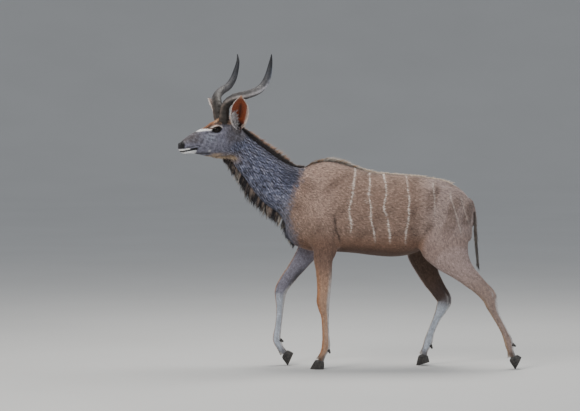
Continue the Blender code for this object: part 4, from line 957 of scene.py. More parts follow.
def ear_colours(facts, normals, small, fine):
    """The ears: grey-brown behind, rust and dark inside, with pale hair along their edges."""
    across, along = facts["ear_across"], facts["ear_along"]
    inside = np.zeros(len(across), bool)
    for side in (-1, 1):
        opening = np.array(ear_frame(side)[3])
        inside |= (facts["ear_side"] == side) & (normals @ opening > 0.05)
    back = np.tile(seen(116, 98, 90), (len(across), 1))
    back = lay(back, seen(148, 140, 138), 0.5 * edge(small, 0, 1))
    hollow = np.tile(seen(134, 64, 36), (len(across), 1))
    # Painted shade: the middle fold inside the ear is laid dark
    dark = bell(across, -0.02, 0.17) * edge(along, 0.14, 0.26) * edge(along, 0.76, 0.60)
    pale = edge(across + 1.9 * (0.33 - along) + 0.12 * small, 0.52, 0.78)
    hollow = paint(hollow,
        (172, 94, 56, 0.6 * edge(fine, 0.0, 1.0)),
        (44, 24, 20, edge(along, 0.16, 0.04)),
        (38, 19, 15, 0.85 * dark),
        (190, 186, 190, 0.9 * pale),
        (186, 170, 160, 0.85 * edge(-across + 0.10 * small, 0.70, 0.84)),
        (198, 156, 128, 0.8 * edge(along, 0.85, 0.93)))
    ear = np.where(inside[:, None], hollow, back)
    rim = edge(np.abs(across), 0.89, 0.98) * edge(along, 0.02, 0.14)
    return lay(ear, seen(222, 212, 206), 0.8 * rim)


def markings(facts, normals):
    """The colour of the coat at each place that was surveyed."""
    colours = body_colours(facts, normals)
    for name in LIMBS:
        colours = leg_colours(facts, normals, name, colours)
    tail = np.tile(seen(128, 104, 90), (len(colours), 1))
    tail = paint(tail,
        (206, 196, 188, edge(-normals[:, 0], 0.3, 0.8)),
        (40, 34, 32, edge(facts["tail_place"], 3.6, 4.8)))
    colours = lay(colours, tail, edge(facts["tail"], 0.4, 0.7))
    return head_colours(facts, normals, colours)


# Skin under the coat
# Short fur that lies flat, so its hairs are mostly grain in the surface, drawn along the lie.
pieces = []


def settle(piece, slot, *nodes):
    """Set a finished piece in its place on the CAD and hide the nodes it stands for. Its slot is
    not used.
    """
    piece.data.transform(Matrix.Translation(STANCE))
    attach(piece, "root")
    if nodes:
        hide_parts(*nodes)
    pieces.append(piece)


def store(mesh, name, kind, values):
    """Keep one value for each vertex of a mesh under a name."""
    attribute = mesh.attributes.new(name, kind, "POINT")
    word = "color" if kind == "FLOAT_COLOR" else "vector" if kind == "FLOAT_VECTOR" else "value"
    attribute.data.foreach_set(word, np.asarray(values, float).ravel())


def store_tone(mesh, colours):
    """Keep a coat colour for each vertex of a mesh."""
    store(mesh, "tone", "FLOAT_COLOR", np.column_stack((colours, np.ones(len(colours)))))


def fill_sockets(node, values):
    """Set what a node's inputs hold."""
    for name, value in values.items():
        node.inputs[name].default_value = value


def add_node(nodes, kind, place, sockets=None, **fields):
    """Add a shader node with its place, what its inputs hold and its other settings."""
    node = nodes.new(kind)
    node.location = place
    for name, value in fields.items():
        setattr(node, name, value)
    fill_sockets(node, sockets or {})
    return node


def add_ramp(nodes, place, *stops):
    """A colour ramp from its stops, each a place from 0 to 1 and a colour."""
    node = nodes.new("ShaderNodeValToRGB")
    node.location = place
    row = node.color_ramp.elements
    for index, (spot, *tint) in enumerate(stops):
        stop = row[index] if index < 2 else row.new(spot)
        stop.position = spot
        stop.color = (*tint, 1)
    return node


def wire(links, *runs):
    """Join one node's output to another node's input, run by run."""
    for start, out, end, into in runs:
        links.new(start.outputs[out], end.inputs[into])


def new_material(name):
    """A new material with its nodes, its links and its shader."""
    material = bpy.data.materials.new(name)
    material.use_nodes = True
    tree = material.node_tree
    return material, tree.nodes, tree.links, tree.nodes["Principled BSDF"]


def hair_grain():
    """A node group: grain drawn out along the lie, as a height and as a shade."""
    group = bpy.data.node_groups.new("hair_grain", "ShaderNodeTree")
    group.interface.new_socket("Lie", in_out="INPUT", socket_type="NodeSocketVector")
    group.interface.new_socket("Height", in_out="OUTPUT", socket_type="NodeSocketFloat")
    group.interface.new_socket("Shade", in_out="OUTPUT", socket_type="NodeSocketFloat")
    nodes, links = group.nodes, group.links
    entry = add_node(nodes, "NodeGroupInput", (-900, 0))
    leave = add_node(nodes, "NodeGroupOutput", (500, 0))
    place = add_node(nodes, "ShaderNodeTexCoord", (-900, 200))
    dot = add_node(nodes, "ShaderNodeVectorMath", (-700, 100), operation="DOT_PRODUCT")
    most = add_node(nodes, "ShaderNodeMath", (-540, 100), {1: 0.88}, operation="MULTIPLY")
    along = add_node(nodes, "ShaderNodeVectorMath", (-380, 0), operation="SCALE")
    squeezed = add_node(nodes, "ShaderNodeVectorMath", (-220, 150), operation="SUBTRACT")
    fine = add_node(nodes, "ShaderNodeTexNoise", (-40, 200),
                    {"Scale": 620.0, "Detail": 3.0, "Roughness": 0.6})
    broad = add_node(nodes, "ShaderNodeTexNoise", (-40, -100),
                     {"Scale": 120.0, "Detail": 4.0, "Roughness": 0.6})
    shade = add_node(nodes, "ShaderNodeMapRange", (300, -100),
                     {"From Min": 0.32, "From Max": 0.68, "To Min": 0.74, "To Max": 1.22})
    wire(links, (place, "Object", dot, 0), (entry, "Lie", dot, 1), (dot, "Value", most, 0),
         (entry, "Lie", along, 0), (most, 0, along, "Scale"), (place, "Object", squeezed, 0),
         (along, 0, squeezed, 1), (squeezed, 0, fine, "Vector"), (squeezed, 0, broad, "Vector"),
         (fine, "Fac", leave, "Height"), (broad, "Fac", shade, "Value"),
         (shade, "Result", leave, "Shade"))
    return group


def coat_material(name, roughness, depth):
    """Fur: its tone from the markings, shaded and raised by the grain of the hairs."""
    material, nodes, links, shader = new_material(name)
    fill_sockets(shader, {"Roughness": roughness, "Specular IOR Level": 0.28,
                          "Sheen Weight": 0.12, "Sheen Roughness": 0.5})
    tone = add_node(nodes, "ShaderNodeAttribute", (-700, 300), attribute_name="tone")
    lie = add_node(nodes, "ShaderNodeAttribute", (-900, 0), attribute_name="lie")
    grain = add_node(nodes, "ShaderNodeGroup", (-700, 0),
                     node_tree=bpy.data.node_groups["hair_grain"])
    shaded = add_node(nodes, "ShaderNodeVectorMath", (-400, 250), operation="SCALE")
    bump = add_node(nodes, "ShaderNodeBump", (-300, -150), {"Strength": depth, "Distance": 0.0012})
    wire(links, (lie, "Vector", grain, "Lie"), (tone, "Color", shaded, 0),
         (grain, "Shade", shaded, "Scale"), (shaded, 0, shader, "Base Color"),
         (grain, "Height", bump, "Height"), (bump, "Normal", shader, "Normal"))
    return material


hair_grain()
skin_points, skin_normals = vertex_arrays(skin.data)
skin_facts = survey(skin_points)
skin_tones = markings(skin_facts, skin_normals)
store_tone(skin.data, skin_tones)
lie = skin_facts["lie"] / np.linalg.norm(skin_facts["lie"], axis=1)[:, None]
store(skin.data, "lie", "FLOAT_VECTOR", lie)
skin.data.materials.clear()
skin.data.materials.append(coat_material("short_fur", 0.78, 0.5))
FLESH_NODES = ["head", "neck", "torso", "tail", "ear_left", "ear_right"]
FLESH_NODES += [limb + part for limb in LIMBS for part in ("_upper", "_lower")]
settle(skin, "coat", *FLESH_NODES)

# Eyes
# Dark, wet eyeballs with a long level pupil. Each is one ball, set deep behind its lids.
eye_glass, nodes, links, shader = new_material("eye_wet")
fill_sockets(shader, {"Roughness": 0.16, "Specular IOR Level": 0.10, "Coat Weight": 0.40,
                      "Coat Roughness": 0.04, "Coat IOR": 1.38})
gaze = add_node(nodes, "ShaderNodeAttribute", (-1100, 0), attribute_name="gaze")
long_pupil = add_node(nodes, "ShaderNodeVectorMath", (-900, 0), {1: (0.50, 1.0, 0.0)},
                      operation="MULTIPLY")
away = add_node(nodes, "ShaderNodeVectorMath", (-720, 0), operation="LENGTH")
fibres = add_node(nodes, "ShaderNodeTexNoise", (-900, -250), {"Scale": 9.0, "Detail": 4.0})
mixed = add_node(nodes, "ShaderNodeMath", (-560, -60), {1: 0.16}, operation="MULTIPLY_ADD")
ramp = add_ramp(nodes, (-380, 0), (0.26, 0.0020, 0.0022, 0.0035), (0.34, 0.0085, 0.0045, 0.003),
                (0.72, 0.004, 0.003, 0.0025), (0.82, 0.020, 0.014, 0.012))
wire(links, (gaze, "Vector", long_pupil, 0), (long_pupil, 0, away, 0),
     (gaze, "Vector", fibres, "Vector"), (fibres, "Fac", mixed, 0), (away, "Value", mixed, 2),
     (mixed, 0, ramp, "Fac"), (ramp, "Color", shader, "Base Color"))
for side, word in SIDES:
    middle = head_point(EYE_PLACE[0], side * EYE_PLACE[1], EYE_PLACE[2])
    eye = ball(middle, (EYE_RADIUS - 0.0002,) * 3)
    eye.name = "eyeball_" + word
    bpy.ops.object.shade_smooth()
    look = head_way(0.22, side, 0.02).normalized()
    level = head_way(1, -0.22 * side, 0).normalized()
    above = look.cross(level)
    local = []
    for vertex in eye.data.vertices:
        away = (vertex.co - middle) / EYE_RADIUS
        local.append((away.dot(level), away.dot(above), away.dot(look)))
    store(eye.data, "gaze", "FLOAT_VECTOR", local)
    eye.data.materials.append(eye_glass)
    settle(eye, "eye", "eye_" + word)

# Horns
# Hollow sheaths of horn on bony cores, in one open turn, with low rings at the base and a keel
# that winds round. Grown skin-side first, so they are oldest, smoothest and darkest at the tip.
HORN_BASE = (0.108, 0.036, 1.528)
# Path from the base: back, outward, up, radius
HORN = [
    (0.000, -0.010, -0.035, 0.027), (0.000, 0.003, 0.010, 0.030), (0.001, 0.023, 0.080, 0.029),
    (0.026, 0.086, 0.123, 0.0285), (0.075, 0.165, 0.145, 0.0275), (0.119, 0.200, 0.166, 0.0265),
    (0.157, 0.196, 0.190, 0.025), (0.188, 0.194, 0.233, 0.0225), (0.206, 0.192, 0.282, 0.018),
    (0.220, 0.190, 0.343, 0.0105), (0.221, 0.200, 0.388, 0.0025),
]


def horn_point(side, back, outward, up):
    """A place on a horn's middle line, from its base."""
    return head_point(HORN_BASE[0] - back, side * (HORN_BASE[1] + outward), HORN_BASE[2] + up)


def horn_rings(side, sides):
    """Closely set rings of one horn, with the place of each along it."""
    path = [(horn_point(side, back, outward, up), radius)
            for back, outward, up, radius in smooth_rows(HORN, 16)]
    rings, shares, keels = [], [], []
    normal = head_way(1, 0, 0)
    for index, (middle, radius) in enumerate(path):
        before = path[max(index - 1, 0)][0]
        after = path[min(index + 1, len(path) - 1)][0]
        tangent = (after - before).normalized()
        normal = (normal - tangent * normal.dot(tangent)).normalized()
        across = tangent.cross(normal)
        share = index / (len(path) - 1)
        keel = side * (math.radians(-6) + math.radians(120) * share)
        rounds = math.sin(share * 150 + 1.3 * math.sin(share * 31)) * edge(share, 0.62, 0.30)
        rounds += 0.5 * math.sin(share * 333) * edge(share, 0.45, 0.15)
        for corner in range(sides):
            turn = 2 * math.pi * corner / sides
            off_keel = (turn - keel + math.pi) % (2 * math.pi) - math.pi
            lift = math.exp(-(off_keel / 0.34) ** 2)
            groove = 0.012 * math.sin(9 * turn + 6 * share) * edge(share, 0.9, 0.5)
            reach = radius * (0.92 + 0.27 * lift * min(1.0, 3 * (1 - share)) + groove
                              + 0.034 * rounds * (1 - 0.4 * lift))
            rings.append(middle + normal * (reach * math.cos(turn))
                         + across * (reach * math.sin(turn)))
            shares.append(share)
            keels.append(lift)
    return [rings[i:i + sides] for i in range(0, len(rings), sides)], shares, keels


horn_sheath, nodes, links, shader = new_material("horn_sheath")
fill_sockets(shader, {"Specular IOR Level": 0.45})
along = add_node(nodes, "ShaderNodeAttribute", (-1300, 300), attribute_name="along")
keel = add_node(nodes, "ShaderNodeAttribute", (-1300, 60), attribute_name="keel")
place = add_node(nodes, "ShaderNodeTexCoord", (-1300, -200))
ramp = add_ramp(nodes, (-1000, 300), (0.00, 0.030, 0.021, 0.016), (0.20, 0.040, 0.031, 0.026),
                (0.36, 0.105, 0.096, 0.094), (0.60, 0.125, 0.122, 0.132),
                (0.78, 0.045, 0.050, 0.064), (0.90, 0.009, 0.011, 0.018))
wear = add_node(nodes, "ShaderNodeTexNoise", (-1000, 0),
                {"Scale": 46.0, "Detail": 6.0, "Roughness": 0.65})
fibre = add_node(nodes, "ShaderNodeTexNoise", (-1000, -300), {"Scale": 240.0, "Detail": 4.0})
shade = add_node(nodes, "ShaderNodeMapRange", (-780, 0),
                 {"From Min": 0.35, "From Max": 0.68, "To Min": 0.55, "To Max": 1.45})
worn = add_node(nodes, "ShaderNodeVectorMath", (-560, 200), operation="SCALE")
# Lighter along the keel, partly worn horn and partly painted highlight, so the horn between keels
# looks shaded
keel_wear_and_highlight = add_node(nodes, "ShaderNodeMath", (-560, -40), {1: 2.30, 2: 0.58},
                     operation="MULTIPLY_ADD")
lit = add_node(nodes, "ShaderNodeVectorMath", (-340, 200), operation="SCALE")
rough = add_node(nodes, "ShaderNodeMapRange", (-340, -40), {"To Min": 0.42, "To Max": 0.66})
growth = add_node(nodes, "ShaderNodeTexNoise", (-1000, -520), {"Scale": 210.0, "Detail": 3.0},
                  noise_dimensions="1D")
relief = add_node(nodes, "ShaderNodeMath", (-560, -360), {1: 1.6}, operation="MULTIPLY_ADD")
bump = add_node(nodes, "ShaderNodeBump", (-340, -300), {"Strength": 0.8, "Distance": 0.0014})
wire(links, (along, "Fac", growth, "W"), (growth, "Fac", relief, 0), (fibre, "Fac", relief, 2),
     (along, "Fac", ramp, "Fac"), (place, "Object", wear, "Vector"),
     (place, "Object", fibre, "Vector"), (wear, "Fac", shade, "Value"), (ramp, "Color", worn, 0),
     (shade, "Result", worn, "Scale"), (keel, "Fac", keel_wear_and_highlight, 0), (worn, 0, lit, 0),
     (keel_wear_and_highlight, 0, lit, "Scale"), (lit, 0, shader, "Base Color"), (wear, "Fac", rough, "Value"),
     (rough, "Result", shader, "Roughness"), (relief, 0, bump, "Height"),
     (bump, "Normal", shader, "Normal"))
for side, word in SIDES:
    rings, shares, keels = horn_rings(side, 36)
    horn = loft("horn_sheath_" + word, rings)
    select_only(horn)
    bpy.ops.object.shade_smooth()
    store(horn.data, "along", "FLOAT", shares)
    store(horn.data, "keel", "FLOAT", keels)
    horn.data.materials.append(horn_sheath)
    settle(horn, "horn", "horn_" + word)

# Hooves and dewclaws
# Cloven hooves of black horn: a steep front wall, a flat wall between the claws and a low heel.
# Two small blunt claws sit behind each fetlock.
HOOF_WIDTH = 0.029
HOOF_HEIGHT = 0.054
TOE_TIPS = {"fore_left": 0, "fore_right": 66, "hind_left": 64, "hind_right": 16}
# Depth from the coronet, reach to the front and rear, breadth, slide
HOOF_LEVELS = [(0.000, 0.025, 0.027, 0.92, 0.000), (0.140, 0.029, 0.030, 1.04, -0.004),
               (0.550, 0.040, 0.033, 1.02, -0.006), (1.000, 0.051, 0.034, 1.00, -0.009)]
hoof_horn, nodes, links, shader = new_material("hoof_horn")
place = add_node(nodes, "ShaderNodeTexCoord", (-1000, 0))
level = add_node(nodes, "ShaderNodeMapping", (-820, 0), {"Scale": (60, 60, 420)})
growth = add_node(nodes, "ShaderNodeTexNoise", (-640, 0), {"Scale": 1.0, "Detail": 3.0})
dust = add_node(nodes, "ShaderNodeTexNoise", (-640, -250), {"Scale": 90.0, "Detail": 5.0})
ramp = add_ramp(nodes, (-420, -100), (0.38, 0.012, 0.011, 0.011), (0.72, 0.070, 0.062, 0.054))
rough = add_node(nodes, "ShaderNodeMapRange", (-420, -350), {"To Min": 0.34, "To Max": 0.70})
bump = add_node(nodes, "ShaderNodeBump", (-420, 200), {"Strength": 0.5, "Distance": 0.0008})
wire(links, (place, "Object", level, "Vector"), (level, "Vector", growth, "Vector"),
     (place, "Object", dust, "Vector"), (dust, "Fac", ramp, "Fac"), (dust, "Fac", rough, "Value"),
     (ramp, "Color", shader, "Base Color"), (rough, "Result", shader, "Roughness"),
     (growth, "Fac", bump, "Height"), (bump, "Normal", shader, "Normal"))


def trim(shape, point, outward):
    """Cut a shape off at a plane and close the cut."""
    select_only(shape)
    bpy.ops.object.mode_set(mode="EDIT")
    bpy.ops.mesh.select_all(action="SELECT")
    bpy.ops.mesh.bisect(plane_co=point, plane_no=outward, use_fill=True, clear_outer=True)
    bpy.ops.object.mode_set(mode="OBJECT")


for limb, rows in LIMBS.items():
    end, before = rows[-1], rows[-2]
    down = Vector((end[0] - before[0], 0, end[1] - before[1])).normalized()
    centre = Vector((end[0], end[5], end[1]))
    for inner in (False, True):
        outer = 1 if (end[5] > 0) != inner else -1
        word = "inner" if inner else "outer"
        rings = []
        for depth, front, rear, wide, slide in smooth_rows(HOOF_LEVELS, 8):
            ring = []
            for corner in range(40):
                turn = 2 * math.pi * corner / 40
                reach = front if math.cos(turn) > 0 else rear
                slim = 1 - 0.55 * max(0.0, math.cos(turn)) ** 2 * depth
                bulge = 0.95 if math.sin(turn) > 0 else 1.0
                lateral = 0.0013 + HOOF_WIDTH / 2 * wide * (1 + math.sin(turn) * bulge) * slim
                ridge = 1 + 0.010 * math.sin(depth * 34) * (1 - depth)
                ring.append(Vector((-(reach * math.cos(turn)) * ridge + slide, outer * lateral,
                                    -HOOF_HEIGHT * depth)))
            rings.append(ring)
        hoof = loft(limb + "_claw_" + word, rings)
        turn = Matrix.Rotation(math.radians(-TOE_TIPS[limb]), 4, "Y")
        hoof.data.transform(Matrix.Translation(centre) @ turn)
        trim(hoof, centre - down * 0.0025, -down)
        trim(hoof, Vector((0, 0, 0)), Vector((0, 0, -1)))
        select_only(hoof)
        bpy.ops.object.shade_smooth_by_angle(angle=math.radians(40))
        hoof.data.materials.append(hoof_horn)
        settle(hoof, "hoof", f"{limb}_hoof_{word}")
        row, above, below = rows[-3], rows[-4], rows[-2]
        run = Vector((below[0] - above[0], 0, below[1] - above[1])).normalized()
        back = Vector((-run.z, 0, run.x))
        place = (Vector((row[0], row[5], row[1])) + back * (row[3] + 0.001)
                 + Vector((0, outer * 0.0135, 0)) + run * 0.006)
        bpy.ops.object.select_all(action="DESELECT")
        bpy.ops.mesh.primitive_cone_add(vertices=24, radius1=0.0105, radius2=0.0045, depth=0.026)
        dewclaw = bpy.context.object
        dewclaw.name = limb + "_dew_" + word
        apply_modifier(dewclaw, "BEVEL", width=0.003, segments=3, limit_method="ANGLE")
        bpy.ops.object.shade_smooth()
        aim = (run * 0.75 + back * 0.70).normalized().to_track_quat("Z", "Y").to_matrix().to_4x4()
        dewclaw.data.transform(Matrix.Translation(place) @ aim)
        dewclaw.data.materials.append(hoof_horn)
        settle(dewclaw, "hoof", f"{limb}_dewclaw_{word}")

# Short coat
# Thin flat tufts of hair over the whole hide, which overlap and lie along it: longest on the neck
# and flanks, smallest on the face and feet. Each is one small closed spindle.
COAT_MAKE = {
    # Tufts on a square metre, length, width, how far the tip lifts
    "trunk": (44000, 0.017, 0.0034, 0.11), "neck": (52000, 0.023, 0.0032, 0.17),
    "tail": (46000, 0.018, 0.0030, 0.14), "head": (105000, 0.0085, 0.0016, 0.15),
    "upper_leg": (42000, 0.015, 0.0030, 0.11), "lower_leg": (70000, 0.0078, 0.0019, 0.12),
}
coat_share = 1.0


def coat_make(facts):
    """How many, long, wide and raised the tufts are at each surveyed place."""
    made = np.zeros((len(facts["points"]), 4))
    for name in PART_NAMES:
        if name in LIMBS:
            low = edge(facts[name + "_place"], 2.0, LOWER_LEG_ROW[name] + 1.5)[:, None]
            upper, lower = np.array(COAT_MAKE["upper_leg"]), np.array(COAT_MAKE["lower_leg"])
            values = upper * (1 - low) + lower * low
        else:
            values = np.array(COAT_MAKE[name])[None, :]
        made += facts[name][:, None] * values
    f, h = facts["forward"], facts["height"]
    muzzle = (facts["head"] * edge(f, 0.16, 0.33))[:, None]
    made = made * (1 - muzzle) + np.array((150000, 0.0046, 0.0012, 0.12)) * muzzle
    ears = edge(facts["ear"], 0.3, 0.8)[:, None]
    made = made * (1 - ears) + np.array((90000, 0.0072, 0.0014, 0.18)) * ears
    off_eye = np.hypot((f - EYE_PLACE[0]) / EYE_OPENING[0], (h - EYE_PLACE[2]) / EYE_OPENING[1])
    by_eye = (facts["head"] * edge(off_eye, 2.2, 1.5))[:, None]
    made = made * (1 - by_eye) + np.array((150000, 0.0036, 0.0011, 0.07)) * by_eye
    by_root = (edge(facts["neck"], 0.6, 0.3) * edge(f, -0.03, 0.0) * edge(f, 0.09, 0.06)
               * edge(h, 1.43, 1.45) * (facts["ear"] < 0.3))[:, None]
    return made * (1 - by_root) + np.array((105000, 0.0065, 0.0015, 0.06)) * by_root


def bare(facts):
    """Where no hair grows: nose, eyeballs, lids' edges, and the line between the lips."""
    f, h, flank = facts["forward"], facts["height"], np.abs(facts["left"])
    nose = (f > 0.373) & (h > 1.3515)
    off_eye = np.linalg.norm(np.column_stack((f, flank, h)) - np.array(EYE_PLACE), axis=1)
    line = np.interp(f, *zip(*MOUTH_LINE))
    lips = (f > 0.283) & (np.abs(h - line) < 0.0018)
    horns = np.zeros(len(f), bool)
    for side in (-1, 1):
        path = [(*horn_point(side, back, outward, up), 1.02 * radius)
                for back, outward, up, radius in HORN[:3]]
        horns |= along_line(facts["points"], path)[0] < 1
    return horns | (nose | lips | (off_eye < EYE_RADIUS + 0.0026)) & (facts["head"] > 0.5)


def hair_piece(name, points, faces, normals, tones, patches):
    """Turn arrays of hair into one mesh piece with its shading, tones and unwrap."""
    mesh = bpy.data.meshes.new(name)
    mesh.vertices.add(len(points))
    mesh.vertices.foreach_set("co", points.ravel())
    mesh.loops.add(faces.size)
    mesh.loops.foreach_set("vertex_index", faces.ravel())
    mesh.polygons.add(len(faces))
    mesh.polygons.foreach_set("loop_start", np.arange(0, faces.size, 3))
    mesh.update(calc_edges=True)
    unwrap = mesh.uv_layers.new(name="OFBake")
    unwrap.data.foreach_set("uv", patches[faces.ravel()].ravel())
    store_tone(mesh, tones)
    store(mesh, "custom_normal", "FLOAT_VECTOR",
          normals / np.maximum(np.linalg.norm(normals, axis=1), 1e-9)[:, None])
    piece = bpy.data.objects.new(name, mesh)
    bpy.context.scene.collection.objects.link(piece)
    return piece


def unwrap_place(facts, name):
    """A place on the unwrap of one part: round its line and along it, each from 0.01 to 0.99."""
    offset, along = facts[name + "_offset"], facts[name + "_place"]
    if name in LIMBS:
        around = np.arctan2(offset[:, 1], -offset[:, 0])
    else:
        around = np.arctan2(offset[:, 1], offset[:, 2] + 0.5 * offset[:, 0])
    along = along + facts["ear"] * (0.3 + facts["ear_side"] * 0.15)
    place = np.column_stack((around, along))
    low, high = place.min(axis=0), place.max(axis=0)
    return 0.01 + 0.98 * (place - low) / np.maximum(high - low, 1e-6)


TUFT_FACES = np.array(((0, 1, 3), (0, 3, 2), (1, 4, 3), (3, 4, 2), (0, 2, 1), (1, 2, 4)))
TUFT_PATCH = np.array(((0, -1), (-0.8, 0), (0.8, 0), (0, 0.2), (0, 1))) * 0.0014


def tuft_piece(name, roots, ways, outs, made, tones, places):
    """Spindle-shaped tufts: a root in the skin, a broad raised middle and a fine tip."""
    count = len(roots)
    sides = np.cross(outs, ways)
    long, wide, lift = made[:, 1:2], made[:, 2:3], made[:, 3:4]
    middle = roots + ways * long * 0.42 + outs * (0.0003 + long * lift * 0.30)
    points = np.stack((roots - outs * 0.0010, middle - sides * wide / 2, middle + sides * wide / 2,
                       middle + outs * wide * 0.28,
                       roots + ways * long + outs * long * lift), axis=1)
    normals = np.stack((outs, outs - sides * 0.55, outs + sides * 0.55, outs,
                        outs + ways * 0.35), axis=1)
    # Each tuft is painted darker at its root, as shade among the hairs, and lighter towards its tip
    root_shade_to_tip = np.array((0.66, 0.96, 0.96, 1.02, 1.16))[None, :, None]
    tones = tones[:, None, :] * root_shade_to_tip
    patches = places[:, None, :] + TUFT_PATCH[None]
    faces = TUFT_FACES[None] + 5 * np.arange(count)[:, None, None]
    return hair_piece(name, points.reshape(-1, 3), faces.reshape(-1, 3), normals.reshape(-1, 3),
                      tones.reshape(-1, 3), patches.reshape(-1, 2))


skin.data.calc_loop_triangles()
corners = np.empty(len(skin.data.loop_triangles) * 3, int)
skin.data.loop_triangles.foreach_get("vertices", corners)
corners = corners.reshape(-1, 3)
draw = np.random.default_rng(7)
first, second, third = (skin_points[corners[:, i]] for i in range(3))
areas = np.linalg.norm(np.cross(second - first, third - first), axis=1) / 2
density = coat_make(skin_facts)[:, 0] * ~bare(skin_facts)
wanted = areas * density[corners].mean(axis=1) * coat_share
counts = np.floor(wanted + draw.uniform(size=len(wanted))).astype(int)
chosen = np.repeat(np.arange(len(corners)), counts)
mix = draw.uniform(size=(len(chosen), 2))
mix = np.where(mix.sum(axis=1)[:, None] > 1, 1 - mix, mix)
weights = np.column_stack((1 - mix.sum(axis=1), mix))[:, :, None]
roots = (skin_points[corners[chosen]] * weights).sum(axis=1)
outs = (skin_normals[corners[chosen]] * weights).sum(axis=1)
outs /= np.linalg.norm(outs, axis=1)[:, None]
facts = survey(roots)
keep = ~bare(facts)
roots, outs = roots[keep], outs[keep]
facts = survey(roots)
ways = facts["lie"] - outs * (facts["lie"] * outs).sum(axis=1)[:, None]
ways /= np.linalg.norm(ways, axis=1)[:, None]
swirl = 0.13 * ripple(roots, 0.05, 91) + draw.normal(0, 0.11, len(roots))
ways = ways * np.cos(swirl)[:, None] + np.cross(outs, ways) * np.sin(swirl)[:, None]
made = coat_make(facts)
made[:, 1] *= draw.uniform(0.72, 1.28, len(roots))
made[:, 2] *= draw.uniform(0.75, 1.25, len(roots))
made[:, 3] *= draw.uniform(0.4, 1.5, len(roots))
middles = roots + ways * (0.4 * made[:, 1:2])
middle_facts = survey(middles)
tones = markings(middle_facts, outs)
unlike = 0.22 + 0.14 * facts["neck"] - 0.06 * facts["head"]
bright = np.exp(np.clip(draw.normal(0, 1, len(roots)), -2.2, 2.0) * unlike)
tones = tones * (bright * (1 + 0.10 * ripple(roots, 0.018, 92)))[:, None]
fur = coat_material("tufted_fur", 0.72, 0.25)
owner = np.argmax([facts[name] for name in PART_NAMES], axis=0)
for index, name in enumerate(PART_NAMES):
    to_left = {"trunk": -roots[:, 1], "head": facts["left"], "neck": -facts["neck_offset"][:, 1]}
    sides = [("", np.ones(len(roots), bool))]
    if name in to_left:
        sides = [("_left", to_left[name] > 0), ("_right", to_left[name] <= 0)]
    if name == "trunk":
        sides = [(word + end, here & there) for word, here in sides
                 for end, there in (("_front", roots[:, 0] < 0.2), ("_rear", roots[:, 0] >= 0.2))]
    for word, here in sides:
        mine = np.nonzero((owner == index) & here)[0]
        if len(mine) == 0:
            continue
        own_facts = {key: value[mine] for key, value in facts.items()}
        tufts = tuft_piece("coat_" + name + word, roots[mine], ways[mine], outs[mine], made[mine],
                           tones[mine], unwrap_place(own_facts, name))
        tufts.data.materials.append(fur)
        settle(tufts, "neck_coat" if name == "neck" else "coat")

# Mane, fringes and brush
# Long hair stands up along the nape, hangs from the throat and the breast, lies in a low crest
# over the withers and ends the tail. It grows in locks of fine strands that draw to a point.


def row_at(rows, share):
    """The interpolated row at a share of a table's length."""
    place = share * (len(rows) - 1)
    index = min(int(place), len(rows) - 2)
    return tuple(a + (b - a) * (place - index) for a, b in zip(rows[index], rows[index + 1]))


def neck_edge(share, top):
    """A point on the neck's upper or lower midline, with the way out of it and along it."""
    row, after = row_at(NECK, share), row_at(NECK, min(share + 0.02, 1.0))
    low, high = Vector((row[2], row[5], row[3])), Vector((row[0], row[5], row[1]))
    here, out = (high, high - low) if top else (low, low - high)
    end = Vector((after[0], after[5], after[1])) if top else Vector((after[2], after[5], after[3]))
    along = (end - here).normalized()
    return here, (out - along * out.dot(along)).normalized(), along


STATIONS = np.array((0.0, 0.30, 0.58, 0.82, 1.0))
STRAND_TAPER = np.array((0.85, 1.0, 0.85, 0.50))


